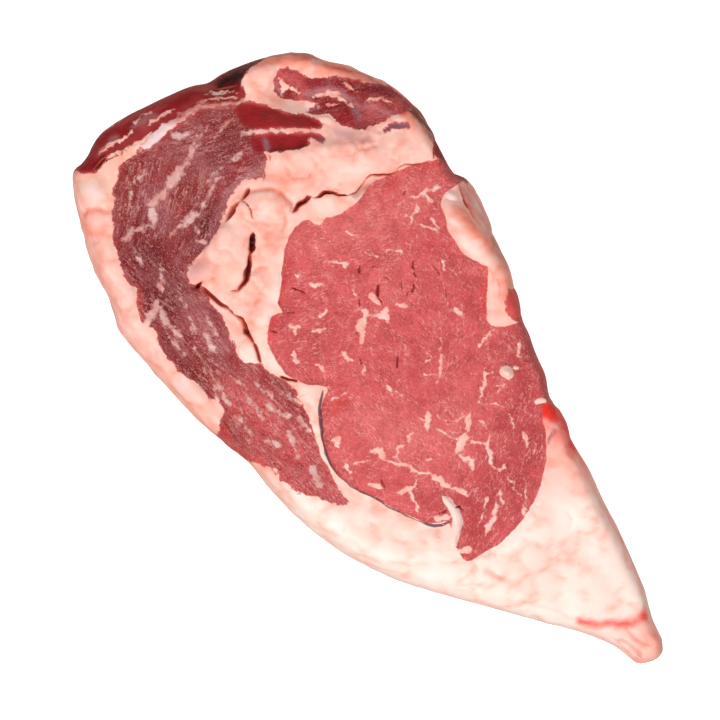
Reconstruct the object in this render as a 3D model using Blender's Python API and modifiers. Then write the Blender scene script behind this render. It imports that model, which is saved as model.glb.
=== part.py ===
"""A raw beef rib roast: one thick boneless cut, lying on its lower cut face.

Seen from above it shows the whole upper cut face: the round eye muscle, the cap muscle along one
side, small muscles at the head, white seam fat between them, and the fat tail.

The frame: +X runs along the roast from its head to the tip of its fat tail, +Z is up, and the
origin lies on the resting face, under the middle of the roast's length and width.
Sizes are written in millimetres and turned to metres when the object is made.
"""

import math

import bmesh
import bpy
import numpy as np
from mathutils import Matrix, Vector, noise

# Driving dimensions, in millimetres
LENGTH = 267.8
WIDTH = 131.6
THICKNESS = 50.0
TAIL_FALL = 24.0
HEAD_FALL = 5.0

# How far the sides press in between their folds, how long and how high a fold is, and the height
# of the bulge that stands out furthest, which no fold presses in
FOLD_DEPTH = 4.0
FOLD_LENGTH = 24.0
FOLD_HEIGHT = 9.0
BULGE_HEIGHT = 27.0

# A fold above the bulge, under the cut face's edge, has only this share of the depth
UPPER_FOLD_SHARE = 0.15

# No fold presses in the bulge, the resting face or the cut face: it grows over these distances
BULGE_CLEARANCE = 10.0
FACE_CLEARANCE = 8.0
FOOT_CLEARANCE = 6.0

# The side's foot doesn't follow each small lobe of the outline: it draws in behind those shorter
# than LOBE_LENGTH, up to MOST_RECESS, from RECESS_TOP down to RECESS_FULL. What presses in a side
# fades out over SIDE_DEPTH inwards.
LOBE_LENGTH = 34.0
MOST_RECESS = 5.0
RECESS_TOP = 35.0
RECESS_FULL = 11.0
SIDE_DEPTH = 13.0

# The upper face's unevenness, and how wide one swelling of it is
UNEVEN = 0.7
UNEVEN_SIZE = 30.0

# The tail falls away from TAIL_START to past the tip, and the head from HEAD_START
TAIL_START, TAIL_END = 52.0, 138.0
HEAD_START, HEAD_END = -88.0, -140.0

# The share of a mound's half width over which it slopes
MOUND_SLOPE = 0.6

# The edge under the cut face curves over this height, and the edge above the resting face
UPPER_ROUND_HEIGHT = 17.0
LOWER_ROUND_HEIGHT = 13.0
LOWER_ROUND_WIDTH = 1.1

# The first mesh's cell, the step along the outline, and the share of triangles that is kept
CELL = 2.4
OUTLINE_STEP = 1.5
KEPT_SHARE = 0.27

# The outline seen from above, in stretches: x, y and how far the rounded edge reaches inwards. Its
# origin, and that of the places below, is a little off the middle: the finished shape is centred.
RIB_SIDE = [
    (-133.5, -19, 9), (-129.5, -3, 9), (-123, 15, 8), (-118.5, 20.5, 6), (-118, 26, 5), (-110.5, 42, 5),
    (-101.5, 52.5, 5), (-97, 52.5, 4), (-92, 57, 5), (-82, 61.5, 6), (-72, 65, 6), (-59, 65, 6),
    (-48, 62, 5), (-42, 60, 4), (-35, 58, 4), (-31, 59.5, 4), (-23, 57.5, 5), (-15, 54, 5),
    (1, 48.5, 4), (8, 44, 4), (12, 42, 3), (15, 39, 3), (20, 38.5, 4), (28, 34.5, 4),
]  # fmt: skip
TAIL = [
    (36.5, 31.5, 4), (41, 27.5, 3), (47, 25.5, 4), (60, 21, 5), (69, 19, 6), (81, 14.5, 6),
    (94, 10.5, 6), (105.5, 6, 5), (114, 2.5, 4), (122, -2.5, 4), (128, -4.5, 4), (132, -6.5, 3),
    (134, -11, 3), (132, -13.5, 2), (131, -17, 3), (127, -18, 3), (120, -18.5, 4),
    (109, -23, 6), (96, -30.5, 7),
]  # fmt: skip
FAT_SIDE = [
    (81, -39, 8), (64, -48.5, 8), (52, -55, 8), (39, -60, 8), (25, -63.5, 8), (13, -65, 8),
    (-3, -65, 8), (-15, -63.5, 7), (-27, -65, 6), (-43.5, -65.5, 7), (-56, -65, 8),
    (-67, -64, 8), (-80, -63, 8), (-89, -58, 8), (-100, -54.5, 8), (-108, -51, 8),
    (-114, -46.5, 7), (-120.5, -43.5, 6), (-126, -39.5, 6), (-131, -35, 5), (-130.5, -30, 4),
    (-132, -25, 6),
]  # fmt: skip

# Broad relief of the upper face: centre x and y, length, width, turn from +X in degrees, height.
MOUNDS = {
    "eye muscle": (-4, 7, 140, 88, -40, 2.2),
    "cap muscle": (-73, -36, 140, 34, -17, -1.8),
    "inner seam fat": (-71, -8, 56, 30, -80, 2.0),
    "upper seam fat": (-70, 32, 62, 15, 50, 2.6),
    "outer small muscle": (-88, 48, 62, 22, 47, -4.5),
    "head hollow": (-116, 24, 16, 14, 60, -7.0),
    "fat lump": (-18, 46, 29, 12, -8, 4.5),
    "lump's ridge": (-14, 49, 16, 5, -12, 1.6),
    "side flap": (-24, 57, 30, 8, -14, -9.0),
    "fat strip": (5, 43, 24, 8, -42, 1.2),
    "white nub": (25.5, 22, 6.5, 5.5, 0, 2.4),
    "white curl": (47.5, -28, 15, 5, -32, 2.0),
    "red end of the strip": (45, 26, 10, 6, -30, 1.6),
    "rim fat low": (10, -57, 90, 16, 2, 1.2),
    "rim fat left": (-92, -52, 50, 12, -20, 0.8),
    "tail swell": (70, -12, 44, 26, -20, 1.6),
    "tail swell far": (100, -12, 30, 18, -24, 1.4),
    "tail dip": (86, -20, 20, 12, 10, -1.2),
    "end lobe": (128, -8, 10, 8, -60, 3.6),
    "second lobe": (128, -16, 7, 5, 0, 2.6),
}

# Soft valleys of the upper face: the route, the width and the depth.
VALLEYS = {
    "eye's lower seam": ([(-15, -26), (3, -41), (20, -44), (34, -38), (47, -29)], 4.0, 1.4),
    "eye's inner border": ([(-57, 24), (-58, 5), (-46, -12), (-32, -24), (-15, -26)], 5.0, 1.0),
    "shelf under the seam fat": ([(-75, 23), (-66, 28), (-56, 33), (-50, 42), (-46, 54)], 4.0, 1.6),
    "flap's groove": ([(-31, 55), (-23, 54), (-12, 52)], 3.0, 2.5),
    "between small muscles": ([(-99, 34), (-87, 38), (-74, 43), (-65, 62)], 5.0, 2.0),
    "cap's inner border": ([(-94, 15), (-85, -1), (-79, -24), (-60, -32), (-38, -32)], 4.0, 1.2),
    "tail's root": ([(46, 22), (44, 4), (53, -24), (38, -47)], 5.0, 1.2),
}

# Open cracks in the seam fat: the route on the upper face, the width to each side, and the depth.
CRACKS = {
    "over the eye": ([(-67, 10), (-66, 17), (-65, 22), (-62, 26), (-58, 27)], 1.5, 3.2),
    "in the seam, by the eye": ([(-71, -6), (-68, -8), (-65, -10), (-64, -16), (-61, -23)], 1.5, 3.4),
    "in the seam, by the cap": ([(-83, 4), (-83, -2), (-82, -7), (-81, -11)], 1.2, 2.4),
    "at the cap": ([(-72, -34), (-71, -32), (-66, -33), (-60, -33), (-52, -31), (-39, -35)], 1.4, 3.0),
}
CRACK_CELLS = 2

# Vertices closer than this, in metres, are one
JOIN_DISTANCE = 0.00001

MM = 0.001


def clear_scene():
    for thing in list(bpy.data.objects):
        bpy.data.objects.remove(thing, do_unlink=True)


def material(name, colour, roughness):
    made = bpy.data.materials.new(name)
    made.use_nodes = True
    shader = made.node_tree.nodes["Principled BSDF"]
    shader.inputs["Base Color"].default_value = (*colour, 1.0)
    shader.inputs["Roughness"].default_value = roughness
    shader.inputs["Metallic"].default_value = 0.0
    made.diffuse_color = (*colour, 1.0)
    return made


def smooth_curve(points, step, closed):
    """A Catmull-Rom curve through the points, with a vertex about every step."""
    points = np.array(points, float)
    if closed:
        framed = np.concatenate([points[-1:], points, points[:2]])
    else:
        framed = np.concatenate([points[:1], points, points[-1:]])
    pieces = []
    for p0, p1, p2, p3 in zip(framed, framed[1:], framed[2:], framed[3:]):
        count = max(2, round(float(np.linalg.norm(p2[:2] - p1[:2])) / step))
        t = np.linspace(0, 1, count, endpoint=False)[:, None]
        bend = 2 * p0 - 5 * p1 + 4 * p2 - p3
        twist = 3 * p1 - p0 - 3 * p2 + p3
        pieces.append(0.5 * (2 * p1 + (p2 - p0) * t + bend * t**2 + twist * t**3))
    if not closed:
        pieces.append(points[-1:])
    return np.concatenate(pieces)


def fitted(spots):
    """The x and y of some spots, centred and at the driving length and width."""
    low, high = spots.min(axis=0), spots.max(axis=0)
    return (spots - (low + high) / 2) * (LENGTH, WIDTH) / (high - low)


def recesses(loop, inwards):
    """How far each outline vertex stands out beyond the outline with its short lobes averaged away."""
    reach = round(LOBE_LENGTH / OUTLINE_STEP / 2)
    averaged = sum(np.roll(loop[:, :2], shift, axis=0) for shift in range(-reach, reach + 1))
    averaged /= 2 * reach + 1
    return np.clip(((averaged - loop[:, :2]) * inwards).sum(axis=1), 0, MOST_RECESS)


def outline_table():
    """For each outline vertex: x, y, the edge's width, the way inwards, and the foot's recess."""
    loop = smooth_curve(RIB_SIDE + TAIL + FAT_SIDE, OUTLINE_STEP, closed=True)
    runs = np.roll(loop[:, :2], -1, axis=0) - loop[:, :2]
    inwards = np.column_stack([runs[:, 1], -runs[:, 0]])
    inwards /= np.linalg.norm(inwards, axis=1)[:, None]
    return np.column_stack([loop, inwards, recesses(loop, inwards)])


def evaluated_mesh(thing):
    """The object's mesh as it stands after its modifiers, with doubled vertices joined."""
    bpy.context.view_layer.update()
    graph = bpy.context.evaluated_depsgraph_get()
    made = bpy.data.meshes.new_from_object(thing.evaluated_get(graph))
    shape = bmesh.new()
    shape.from_mesh(made)
    bmesh.ops.remove_doubles(shape, verts=shape.verts, dist=JOIN_DISTANCE)
    bmesh.ops.recalc_face_normals(shape, faces=shape.faces)
    shape.to_mesh(made)
    shape.free()
    return made


def slab(loop):
    """The outline extruded to the full thickness from z = 0 up, remeshed into even cells."""
    curve = bpy.data.curves.new("outline", "CURVE")
    curve.dimensions = "2D"
    curve.fill_mode = "BOTH"
    curve.extrude = THICKNESS * MM / 2
    spline = curve.splines.new("POLY")
    spline.points.add(len(loop) - 1)
    for point, (x, y) in zip(spline.points, loop[:, :2]):
        point.co = (x * MM, y * MM, 0, 1)
    spline.use_cyclic_u = True
    guide = bpy.data.objects.new("outline", curve)
    bpy.context.scene.collection.objects.link(guide)

    block = bpy.data.objects.new("block", evaluated_mesh(guide))
    bpy.context.scene.collection.objects.link(block)
    remesh = block.modifiers.new("even cells", "REMESH")
    remesh.mode = "VOXEL"
    remesh.voxel_size = CELL * MM
    cells = evaluated_mesh(block)
    cells.transform(Matrix.Translation((0, 0, THICKNESS * MM / 2)))
    for helper in (guide, block):
        bpy.data.objects.remove(helper)
    return cells


def nearest_on(loop, spots):
    """Each spot's distance to the outline, and the outline table's row that is nearest to it."""
    runs = np.roll(loop[:, :2], -1, axis=0) - loop[:, :2]
    far = np.full(len(spots), np.inf)
    rows = np.zeros((len(spots), loop.shape[1]))
    for row, run in zip(loop, runs):
        share = np.clip(((spots - row[:2]) @ run) / (run @ run), 0, 1)
        gap = np.linalg.norm(spots - row[:2] - share[:, None] * run, axis=1)
        rows[gap < far] = row
        far = np.minimum(far, gap)
    return far, rows


def ramp(low, high, value):
    """0 below low, 1 above high and a smooth rise between them."""
    t = np.clip((value - low) / (high - low), 0, 1)
    return t * t * (3 - 2 * t)


def mound(spots, x, y, length, width, turn, height):
    """A smooth swelling with a flattish top over an ellipse."""
    angle = np.radians(turn)
    along = (spots - (x, y)) @ (np.cos(angle), np.sin(angle)) / (length / 2)
    aside = (spots - (x, y)) @ (-np.sin(angle), np.cos(angle)) / (width / 2)
    return height * ramp(0, MOUND_SLOPE, 1 - np.hypot(along, aside))


def gap_to_route(spots, route):
    """Each spot's distance to a route through points."""
    far = np.full(len(spots), np.inf)
    for start, end in zip(np.array(route, float), np.array(route[1:], float)):
        run = end - start
        share = np.clip(((spots - start) @ run) / (run @ run), 0, 1)
        far = np.minimum(far, np.linalg.norm(spots - start - share[:, None] * run, axis=1))
    return far


def waves(spots, heights, length, height):
    """A smooth irregular pattern from 0 to 1, its swellings of this length and height."""
    places = np.column_stack([spots / length, heights / height])
    return np.array([0.5 + 0.5 * noise.noise(Vector(place)) for place in places])


def relief(spots):
    """The upper face's height above a flat cut, in millimetres."""
    height = -TAIL_FALL * ramp(TAIL_START, TAIL_END, spots[:, 0])
    height -= HEAD_FALL * ramp(HEAD_START, HEAD_END, spots[:, 0])
    height += UNEVEN * (2 * waves(spots, np.zeros(len(spots)), UNEVEN_SIZE, 1) - 1)
    for sizes in MOUNDS.values():
        height += mound(spots, *sizes)
    for route, width, depth in [*VALLEYS.values(), *CRACKS.values()]:
        height -= depth * ramp(width, 0, gap_to_route(spots, route))
    return height


def refine_cracks(mesh):
    """Splits the upper face's cells along the cracks, so that they can hold a narrow valley."""
    shape = bmesh.new()
    shape.from_mesh(mesh)
    for _ in range(CRACK_CELLS):
        faces = [face for face in shape.faces if face.calc_center_median().z > (THICKNESS - 1) * MM]
        centres = np.array([face.calc_center_median()[:2] for face in faces]) / MM
        near = np.zeros(len(faces), bool)
        for route, width, _ in CRACKS.values():
            near |= gap_to_route(centres, route) < width + CELL / 2
        edges = {edge for face, chosen in zip(faces, near) if chosen for edge in face.edges}
        bmesh.ops.subdivide_edges(shape, edges=list(edges), cuts=1, use_grid_fill=True)
        bmesh.ops.triangulate(shape, faces=[face for face in shape.faces if len(face.verts) > 4])
    shape.to_mesh(mesh)
    shape.free()


def round_edges(points, loop):
    """Curves the slab's upper and lower edges, along a quarter ellipse in each."""
    far, rows = nearest_on(loop, points[:, :2])
    width, inwards = rows[:, 2], rows[:, 3:5]
    height = points[:, 2].copy()
    shaped = points.copy()
    for reach, rise, side, face in (
        (width, UPPER_ROUND_HEIGHT, THICKNESS - height, THICKNESS),
        (width * LOWER_ROUND_WIDTH, LOWER_ROUND_HEIGHT, height, 0),
    ):
        turn = np.clip((far - side + rise) / (reach + rise), 0, 1) * math.pi / 2
        on_edge = (far - side < reach) & (side - far < rise) & (side < THICKNESS / 2)
        shift = (reach * (1 - np.cos(turn)) - far)[:, None] * inwards
        shaped[on_edge, :2] += shift[on_edge]
        shaped[on_edge, 2] = np.abs(face - rise * (1 - np.sin(turn)))[on_edge]
    return shaped


def press_sides(points, loop):
    """Presses folds into the sides, and draws their foot in behind the outline's short lobes."""
    far, rows = nearest_on(loop, points[:, :2])
    inwards, recess = rows[:, 3:5], rows[:, 5]
    height = points[:, 2]
    fold = FOLD_DEPTH * waves(points[:, :2], height, FOLD_LENGTH, FOLD_HEIGHT)
    fold *= ramp(0, BULGE_CLEARANCE, np.abs(height - BULGE_HEIGHT))
    fold *= ramp(0, FACE_CLEARANCE, THICKNESS - height) * ramp(0, FOOT_CLEARANCE, height)
    fold[height > BULGE_HEIGHT] *= UPPER_FOLD_SHARE
    foot = recess * ramp(RECESS_TOP, RECESS_FULL, height)
    shift = (fold + foot) * ramp(SIDE_DEPTH, 0, far)
    points[:, :2] += shift[:, None] * inwards
    return points


def make_roast(name, parts, colour, roughness):
    """The roast's solid: slab, rounded sides, then the upper face's relief."""
    loop = outline_table()
    mesh = slab(loop)
    refine_cracks(mesh)
    points = np.empty(len(mesh.vertices) * 3, np.float32)
    mesh.vertices.foreach_get("co", points)
    points = points.reshape(-1, 3).astype(float) / MM
    points[:, 2] = np.clip(points[:, 2], 0, THICKNESS)
    points = press_sides(round_edges(points, loop), loop)
    points[:, 2] *= 1 + relief(points[:, :2]) / THICKNESS
    points[:, :2] = fitted(points[:, :2])
    mesh.vertices.foreach_set("co", (points * MM).ravel())
    mesh.materials.append(material(name, colour, roughness))
    mesh.shade_smooth()

    roast = bpy.data.objects.new(name, mesh)
    parts.objects.link(roast)
    fewer = roast.modifiers.new("fewer faces", "DECIMATE")
    fewer.ratio = KEPT_SHARE
    return roast


def main():
    clear_scene()
    parts = bpy.data.collections.new("Beef rib roast")
    bpy.context.scene.collection.children.link(parts)
    make_roast("rib_roast", parts, (0.56, 0.17, 0.14), 0.38)


main()
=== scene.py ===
# %% [markdown]
# # A raw beef rib roast
# The roast is one thick slice of a beast's rib, with the bone taken out, lying on one cut face with the
# other one up. The lesson dresses a plain solid of it: the muscles and the fat get their borders, their
# marbling, their fine relief and a moist surface.
# The first lines load the solid, which the rest of the script only reads. Its box is kept, because the
# dressed roast has to stay inside it.

import math

import bmesh
import bpy
import numpy as np
from mathutils import Matrix, Vector, noise


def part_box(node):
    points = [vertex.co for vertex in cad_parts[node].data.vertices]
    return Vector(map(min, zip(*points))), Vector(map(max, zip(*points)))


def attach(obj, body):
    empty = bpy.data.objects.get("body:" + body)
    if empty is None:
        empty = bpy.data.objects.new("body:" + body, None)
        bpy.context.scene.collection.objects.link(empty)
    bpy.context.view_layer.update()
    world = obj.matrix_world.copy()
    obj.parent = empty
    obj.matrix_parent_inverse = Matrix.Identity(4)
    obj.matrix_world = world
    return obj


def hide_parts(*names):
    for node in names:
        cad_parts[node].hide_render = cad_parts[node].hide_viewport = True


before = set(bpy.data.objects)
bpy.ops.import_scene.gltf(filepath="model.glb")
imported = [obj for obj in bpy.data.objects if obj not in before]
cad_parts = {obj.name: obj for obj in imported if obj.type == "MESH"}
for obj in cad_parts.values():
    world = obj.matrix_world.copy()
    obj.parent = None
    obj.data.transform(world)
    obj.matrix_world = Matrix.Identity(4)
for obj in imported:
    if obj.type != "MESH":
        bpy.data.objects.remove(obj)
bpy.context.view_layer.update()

# %% [markdown]
# ## Reading places off the photograph
# The photograph looks straight down, so a place on the cut face is found from where it shows. The camera
# of this scene is the same one: it hangs over the roast, turned by 45 degrees, because the roast lies
# aslant in the picture while its own length runs along X.
# One pixel is 0.35 mm at the height where the sides bulge furthest. The cut face is nearer the camera, so
# there a pixel is a little less. The camera hangs four metres up with a long lens, which keeps that small.
# Places below are such pixels, and `photo` turns them into the roast's own millimetres.

# %% The camera, and a pixel's place
MM = 0.001
PICTURE_WIDTH = 720
PIXEL = 0.35
ORIGIN_PIXEL = (409.5, 366.5)
TURN = math.radians(45)
BULGE_HEIGHT, FACE_HEIGHT, CAMERA_HEIGHT = 27.0, 51.0, 4000.0
SENSOR = 36.0

camera_data = bpy.data.cameras.new("camera")
camera = bpy.data.objects.new("camera", camera_data)
bpy.context.scene.collection.objects.link(camera)
bpy.context.scene.camera = camera


def turned(right, down):
    """A step in the picture, right and down, as a step along X and Y."""
    return (right * math.cos(TURN) + down * math.sin(TURN), right * math.sin(TURN) - down * math.cos(TURN))


middle = PICTURE_WIDTH / 2
MIDDLE_X, MIDDLE_Y = (PIXEL * c for c in turned(middle - ORIGIN_PIXEL[0], middle - ORIGIN_PIXEL[1]))
FACE_PIXEL = PIXEL * (CAMERA_HEIGHT - FACE_HEIGHT) / (CAMERA_HEIGHT - BULGE_HEIGHT)
camera.location = (MIDDLE_X * MM, MIDDLE_Y * MM, CAMERA_HEIGHT * MM)
camera.rotation_euler = (0, 0, TURN)
camera_data.sensor_width = SENSOR
camera_data.lens = SENSOR * (CAMERA_HEIGHT - BULGE_HEIGHT) / (PICTURE_WIDTH * PIXEL)
camera_data.clip_end = 10


def photo(pixels):
    """Places on the cut face, read as pixels of the photograph, as rows of x and y in millimetres."""
    right, down = np.array(pixels, float).T - middle
    x, y = turned(right * FACE_PIXEL, down * FACE_PIXEL)
    return np.column_stack([MIDDLE_X + x, MIDDLE_Y + y])


print(f"lens {camera_data.lens:.0f} mm, a pixel is {FACE_PIXEL:.3f} mm on the cut face")

# %% [markdown]
# ## The muscles
# A slice of rib shows five muscles. The big round one is the eye. The cap lies along one side of it, and
# three small ones sit at the head, under the membrane where the rib was. Each is an outline of its own,
# and everything outside them is fat. Other dark places, such as a cut vessel, get an outline too.

# %% Outlines of the muscles
EYE = [
    (431, 160), (413, 165), (398, 171), (386, 177), (374, 182), (366, 190), (360, 200), (350, 208),
    (338, 215), (327, 218), (319, 226), (311, 221), (303, 221),
    (293, 231), (286, 245), (282, 266), (281, 291), (277, 304), (283, 313), (271, 317), (267, 338),
    (269, 349), (282, 370), (289, 377), (308, 385), (326, 388), (322, 402), (320, 417), (322, 440),
    (328, 460), (339, 478), (358, 491), (381, 502), (404, 514), (427, 523), (447, 522), (452, 535),
    (455, 547), (466, 561), (484, 553), (504, 539), (521, 520), (534, 500), (541, 481), (545, 462),
    (546, 440), (542, 415), (545, 402), (575, 385), (550, 320), (505, 326), (488, 322), (487, 300),
    (488, 266), (482, 264), (464, 254), (456, 242), (449, 232), (447, 218), (441, 205), (447, 192),
    (457, 185), (462, 180), (458, 172), (446, 160),
]  # fmt: skip
CAP = [
    (124, 160), (132, 157), (142, 150), (157, 142), (171, 129), (190, 116), (208, 108), (240, 104),
    (257, 110), (257, 132), (262, 150), (267, 157), (265, 174), (242, 181), (235, 192), (224, 211),
    (219, 227), (210, 243), (201, 252), (189, 266), (191, 286), (203, 289), (213, 302), (228, 327),
    (230, 340), (236, 349), (242, 362), (259, 366), (281, 380), (293, 388), (301, 402), (308, 415),
    (313, 429), (317, 444), (323, 459), (331, 475), (347, 505), (326, 502), (309, 496), (295, 491),
    (284, 483), (275, 473), (255, 463), (236, 455), (215, 438), (221, 424), (220, 402), (212, 400),
    (203, 389), (193, 380), (180, 375), (169, 364), (157, 343), (155, 327), (142, 326), (137, 313),
    (134, 302), (135, 289), (127, 280), (119, 257), (112, 234), (115, 216), (112, 197), (117, 181),
    (122, 168),
]  # fmt: skip
HEAD_MUSCLE = [
    (274, 80), (282, 69), (294, 69), (309, 77), (327, 77), (350, 78), (374, 83), (390, 86), (400, 93),
    (414, 104), (405, 113), (392, 117), (378, 124), (362, 130), (351, 128), (340, 124), (329, 115),
    (316, 115), (306, 112), (317, 104), (309, 101), (294, 100), (278, 96),
]  # fmt: skip
UPPER_BAND = [
    (236, 106), (248, 102), (259, 104), (272, 106), (287, 113), (301, 114), (311, 116), (323, 124),
    (316, 129), (278, 129), (252, 130), (240, 122),
]  # fmt: skip
LOWER_BAND = [
    (250, 138), (259, 134), (291, 133), (316, 133), (327, 139), (324, 144), (311, 139), (309, 146),
    (291, 151), (272, 153), (255, 152),
]  # fmt: skip
# The membrane side of the head, the flap's wall and a red bump on the rib side are lean as well. The flap's
# wall is dark red, partly as lean and partly as painted shade, since that side faces away from the light.
HEAD_WALL = [
    (72, 168), (84, 146), (104, 128), (122, 114), (142, 102), (160, 92), (180, 84), (212, 74), (230, 66),
    (250, 57), (268, 54), (262, 62), (250, 70), (245, 76), (241, 84), (246, 92), (242, 101), (222, 104),
    (206, 106), (190, 112), (176, 121), (164, 130), (152, 139), (140, 146), (128, 152), (116, 158),
    (104, 166), (94, 173), (84, 174),
]  # fmt: skip
SIDE_WALL = [(434, 138), (448, 140), (470, 178), (462, 182), (449, 166), (437, 156)]
RED_BUMP = [(506, 294), (513, 288), (522, 289), (529, 299), (531, 312), (524, 320), (514, 321), (506, 310)]
# A cut vessel shows as a small grey mark in the head's fat.
VESSEL = [(382, 131), (387, 126), (397, 122), (408, 123), (411, 127), (404, 130), (395, 129), (386, 133)]

OUTLINE_STEP = 1.8


def curved(places, closed=False):
    """A smooth curve through places of the photograph, as points a little apart, in millimetres."""
    route = photo(places)
    if len(route) < 3 and not closed:
        return route
    if closed:
        route = np.vstack([route[-1:], route, route[:2]])
    else:
        route = np.vstack([2 * route[0] - route[1], route, 2 * route[-1] - route[-2]])
    points = []
    for before, start, end, after in zip(route, route[1:], route[2:], route[3:]):
        steps = max(1, round(math.dist(start, end) / OUTLINE_STEP))
        for t in np.arange(steps) / steps:
            points.append(0.5 * (
                2 * start + (end - before) * t + (2 * before - 5 * start + 4 * end - after) * t**2
                + (3 * start - before - 3 * end + after) * t**3
            ))
    return np.array(points if closed else [*points, route[-2]])


OUTLINES = {
    "eye": EYE, "cap": CAP, "head muscle": HEAD_MUSCLE, "upper band": UPPER_BAND, "lower band": LOWER_BAND,
    "head wall": HEAD_WALL, "side wall": SIDE_WALL, "red bump": RED_BUMP, "vessel": VESSEL,
}  # fmt: skip
MUSCLES = {name: curved(places, closed=True) for name, places in OUTLINES.items()}

for name, outline in MUSCLES.items():
    print(name, *(f"{size:.0f} mm" for size in np.ptp(outline, axis=0)))

# %% [markdown]
# ## Marbling, cracks and film
# Marbling is fat inside a muscle. The broad flecks and veins are drawn one by one, each with its width in
# pixels and the places it runs through. Both of its ends taper. The fine ones come later, from a pattern.
# Cracks open in the seam fat where the muscles were pulled apart, and small pits in the eye where fibres
# tore. A dark film, the edge of a membrane, runs between the eye and the cap.

# %% Veins and flecks of fat
EYE_VEINS = [
    # the upper end
    (4.5, [(409, 197), (420, 195), (430, 189), (443, 186)]), (3.5, [(424, 194), (434, 203)]),
    (5, [(416, 203), (417, 211), (410, 217)]), (3.5, [(404, 215), (411, 217), (411, 225)]),
    (4, [(419, 224), (430, 227), (440, 235)]), (3, [(432, 219), (438, 229)]), (2.5, [(400, 204), (405, 200)]),
    # above the pits
    (3, [(324, 262), (332, 261), (340, 262), (345, 266), (349, 261), (354, 259)]),
    (3, [(386, 252), (393, 249), (399, 251), (404, 257)]), (2, [(365, 252), (378, 257)]),
    (2, [(313, 247), (319, 251), (320, 258)]), (3, [(348, 232), (357, 238)]), (2.5, [(322, 228), (327, 233)]),
    (4.5, [(309, 284), (317, 286), (325, 283)]), (3, [(351, 290), (356, 297)]), (5, [(296, 276), (298, 277)]),
    # the large flecks in the middle
    (9, [(362, 311), (365, 313), (364, 320)]), (11, [(364, 318), (361, 327), (362, 335)]),
    (6, [(361, 330), (362, 343)]), (8, [(386, 307), (384, 315), (381, 318)]),
    (6, [(377, 316), (386, 318), (390, 324)]), (3, [(366, 316), (379, 315)]),
    (5, [(395, 304), (403, 305), (409, 309)]), (8, [(372, 296), (377, 303)]),
    (5, [(311, 330), (318, 331), (325, 330)]), (5, [(290, 327), (300, 327)]), (4.5, [(296, 326), (295, 333)]),
    (4.5, [(319, 316), (325, 313)]), (6, [(343, 353), (347, 358)]), (3, [(346, 357), (352, 360)]),
    (5.5, [(293, 355), (296, 362)]), (4, [(315, 365), (323, 370)]), (3, [(363, 365), (365, 375)]),
    (5.5, [(453, 304), (457, 310), (462, 318)]), (3.5, [(444, 261), (444, 269)]),
    # the lower half
    (3.5, [(441, 338), (441, 360), (440, 376), (437, 383)]), (2, [(424, 374), (435, 375)]),
    (2.2, [(424, 352), (433, 357), (421, 366)]), (4.5, [(386, 386), (391, 391)]),
    (2.5, [(396, 391), (403, 395)]), (4.5, [(484, 369), (485, 379), (482, 389), (479, 402)]),
    (2.5, [(485, 373), (492, 372)]), (3, [(494, 385), (501, 387)]),
    (2.2, [(506, 382), (500, 390), (494, 396)]), (3, [(491, 402), (502, 406)]),
    (7, [(427, 411), (428, 420), (426, 430)]), (3, [(420, 418), (428, 421)]), (1.8, [(437, 416), (447, 407)]),
    (2, [(438, 417), (451, 421), (462, 416)]), (2.4, [(436, 428), (459, 442)]),
    (6, [(469, 410), (468, 424), (466, 435)]), (9, [(467, 432), (460, 444), (456, 453)]),
    (5, [(456, 452), (464, 458), (472, 463), (470, 473)]), (2.4, [(467, 444), (478, 442), (488, 446)]),
    (5, [(490, 432), (488, 443), (490, 456), (492, 467)]), (4, [(490, 464), (500, 471), (505, 462)]),
    (5, [(522, 431), (526, 439), (528, 447)]), (3, [(510, 415), (514, 428)]),
    (2.4, [(475, 420), (482, 423), (487, 431)]), (4, [(414, 432), (408, 436), (409, 442)]),
    (4.5, [(408, 443), (395, 452), (402, 465)]), (9, [(330, 439), (337, 441), (337, 448)]),
    (8, [(369, 453), (378, 452), (384, 461)]),
    (4, [(382, 460), (395, 463), (409, 467), (420, 473), (432, 476)]),
    (8, [(430, 475), (442, 482), (452, 489)]), (4, [(449, 487), (460, 490), (469, 496)]),
    (2.2, [(354, 464), (368, 461)]), (6, [(345, 465), (348, 473)]),
    (5, [(416, 480), (413, 487), (406, 491), (396, 495)]), (4.5, [(406, 490), (414, 500), (418, 512)]),
    (6, [(369, 484), (379, 487)]), (3, [(332, 399), (346, 393)]), (4, [(426, 460), (430, 460)]),
    (6.5, [(496, 500), (492, 518), (483, 537)]), (4, [(499, 491), (501, 503)]),
    (3, [(485, 490), (484, 507), (477, 526)]), (4, [(525, 489), (524, 514)]),
    (2.4, [(506, 472), (512, 484), (520, 498)]), (3, [(534, 443), (533, 453)]), (5, [(520, 342), (518, 355)]),
    (4, [(494, 328), (486, 336), (478, 348)]), (7, [(450, 552), (468, 549)]), (7, [(436, 518), (448, 517)]),
]  # fmt: skip
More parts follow.
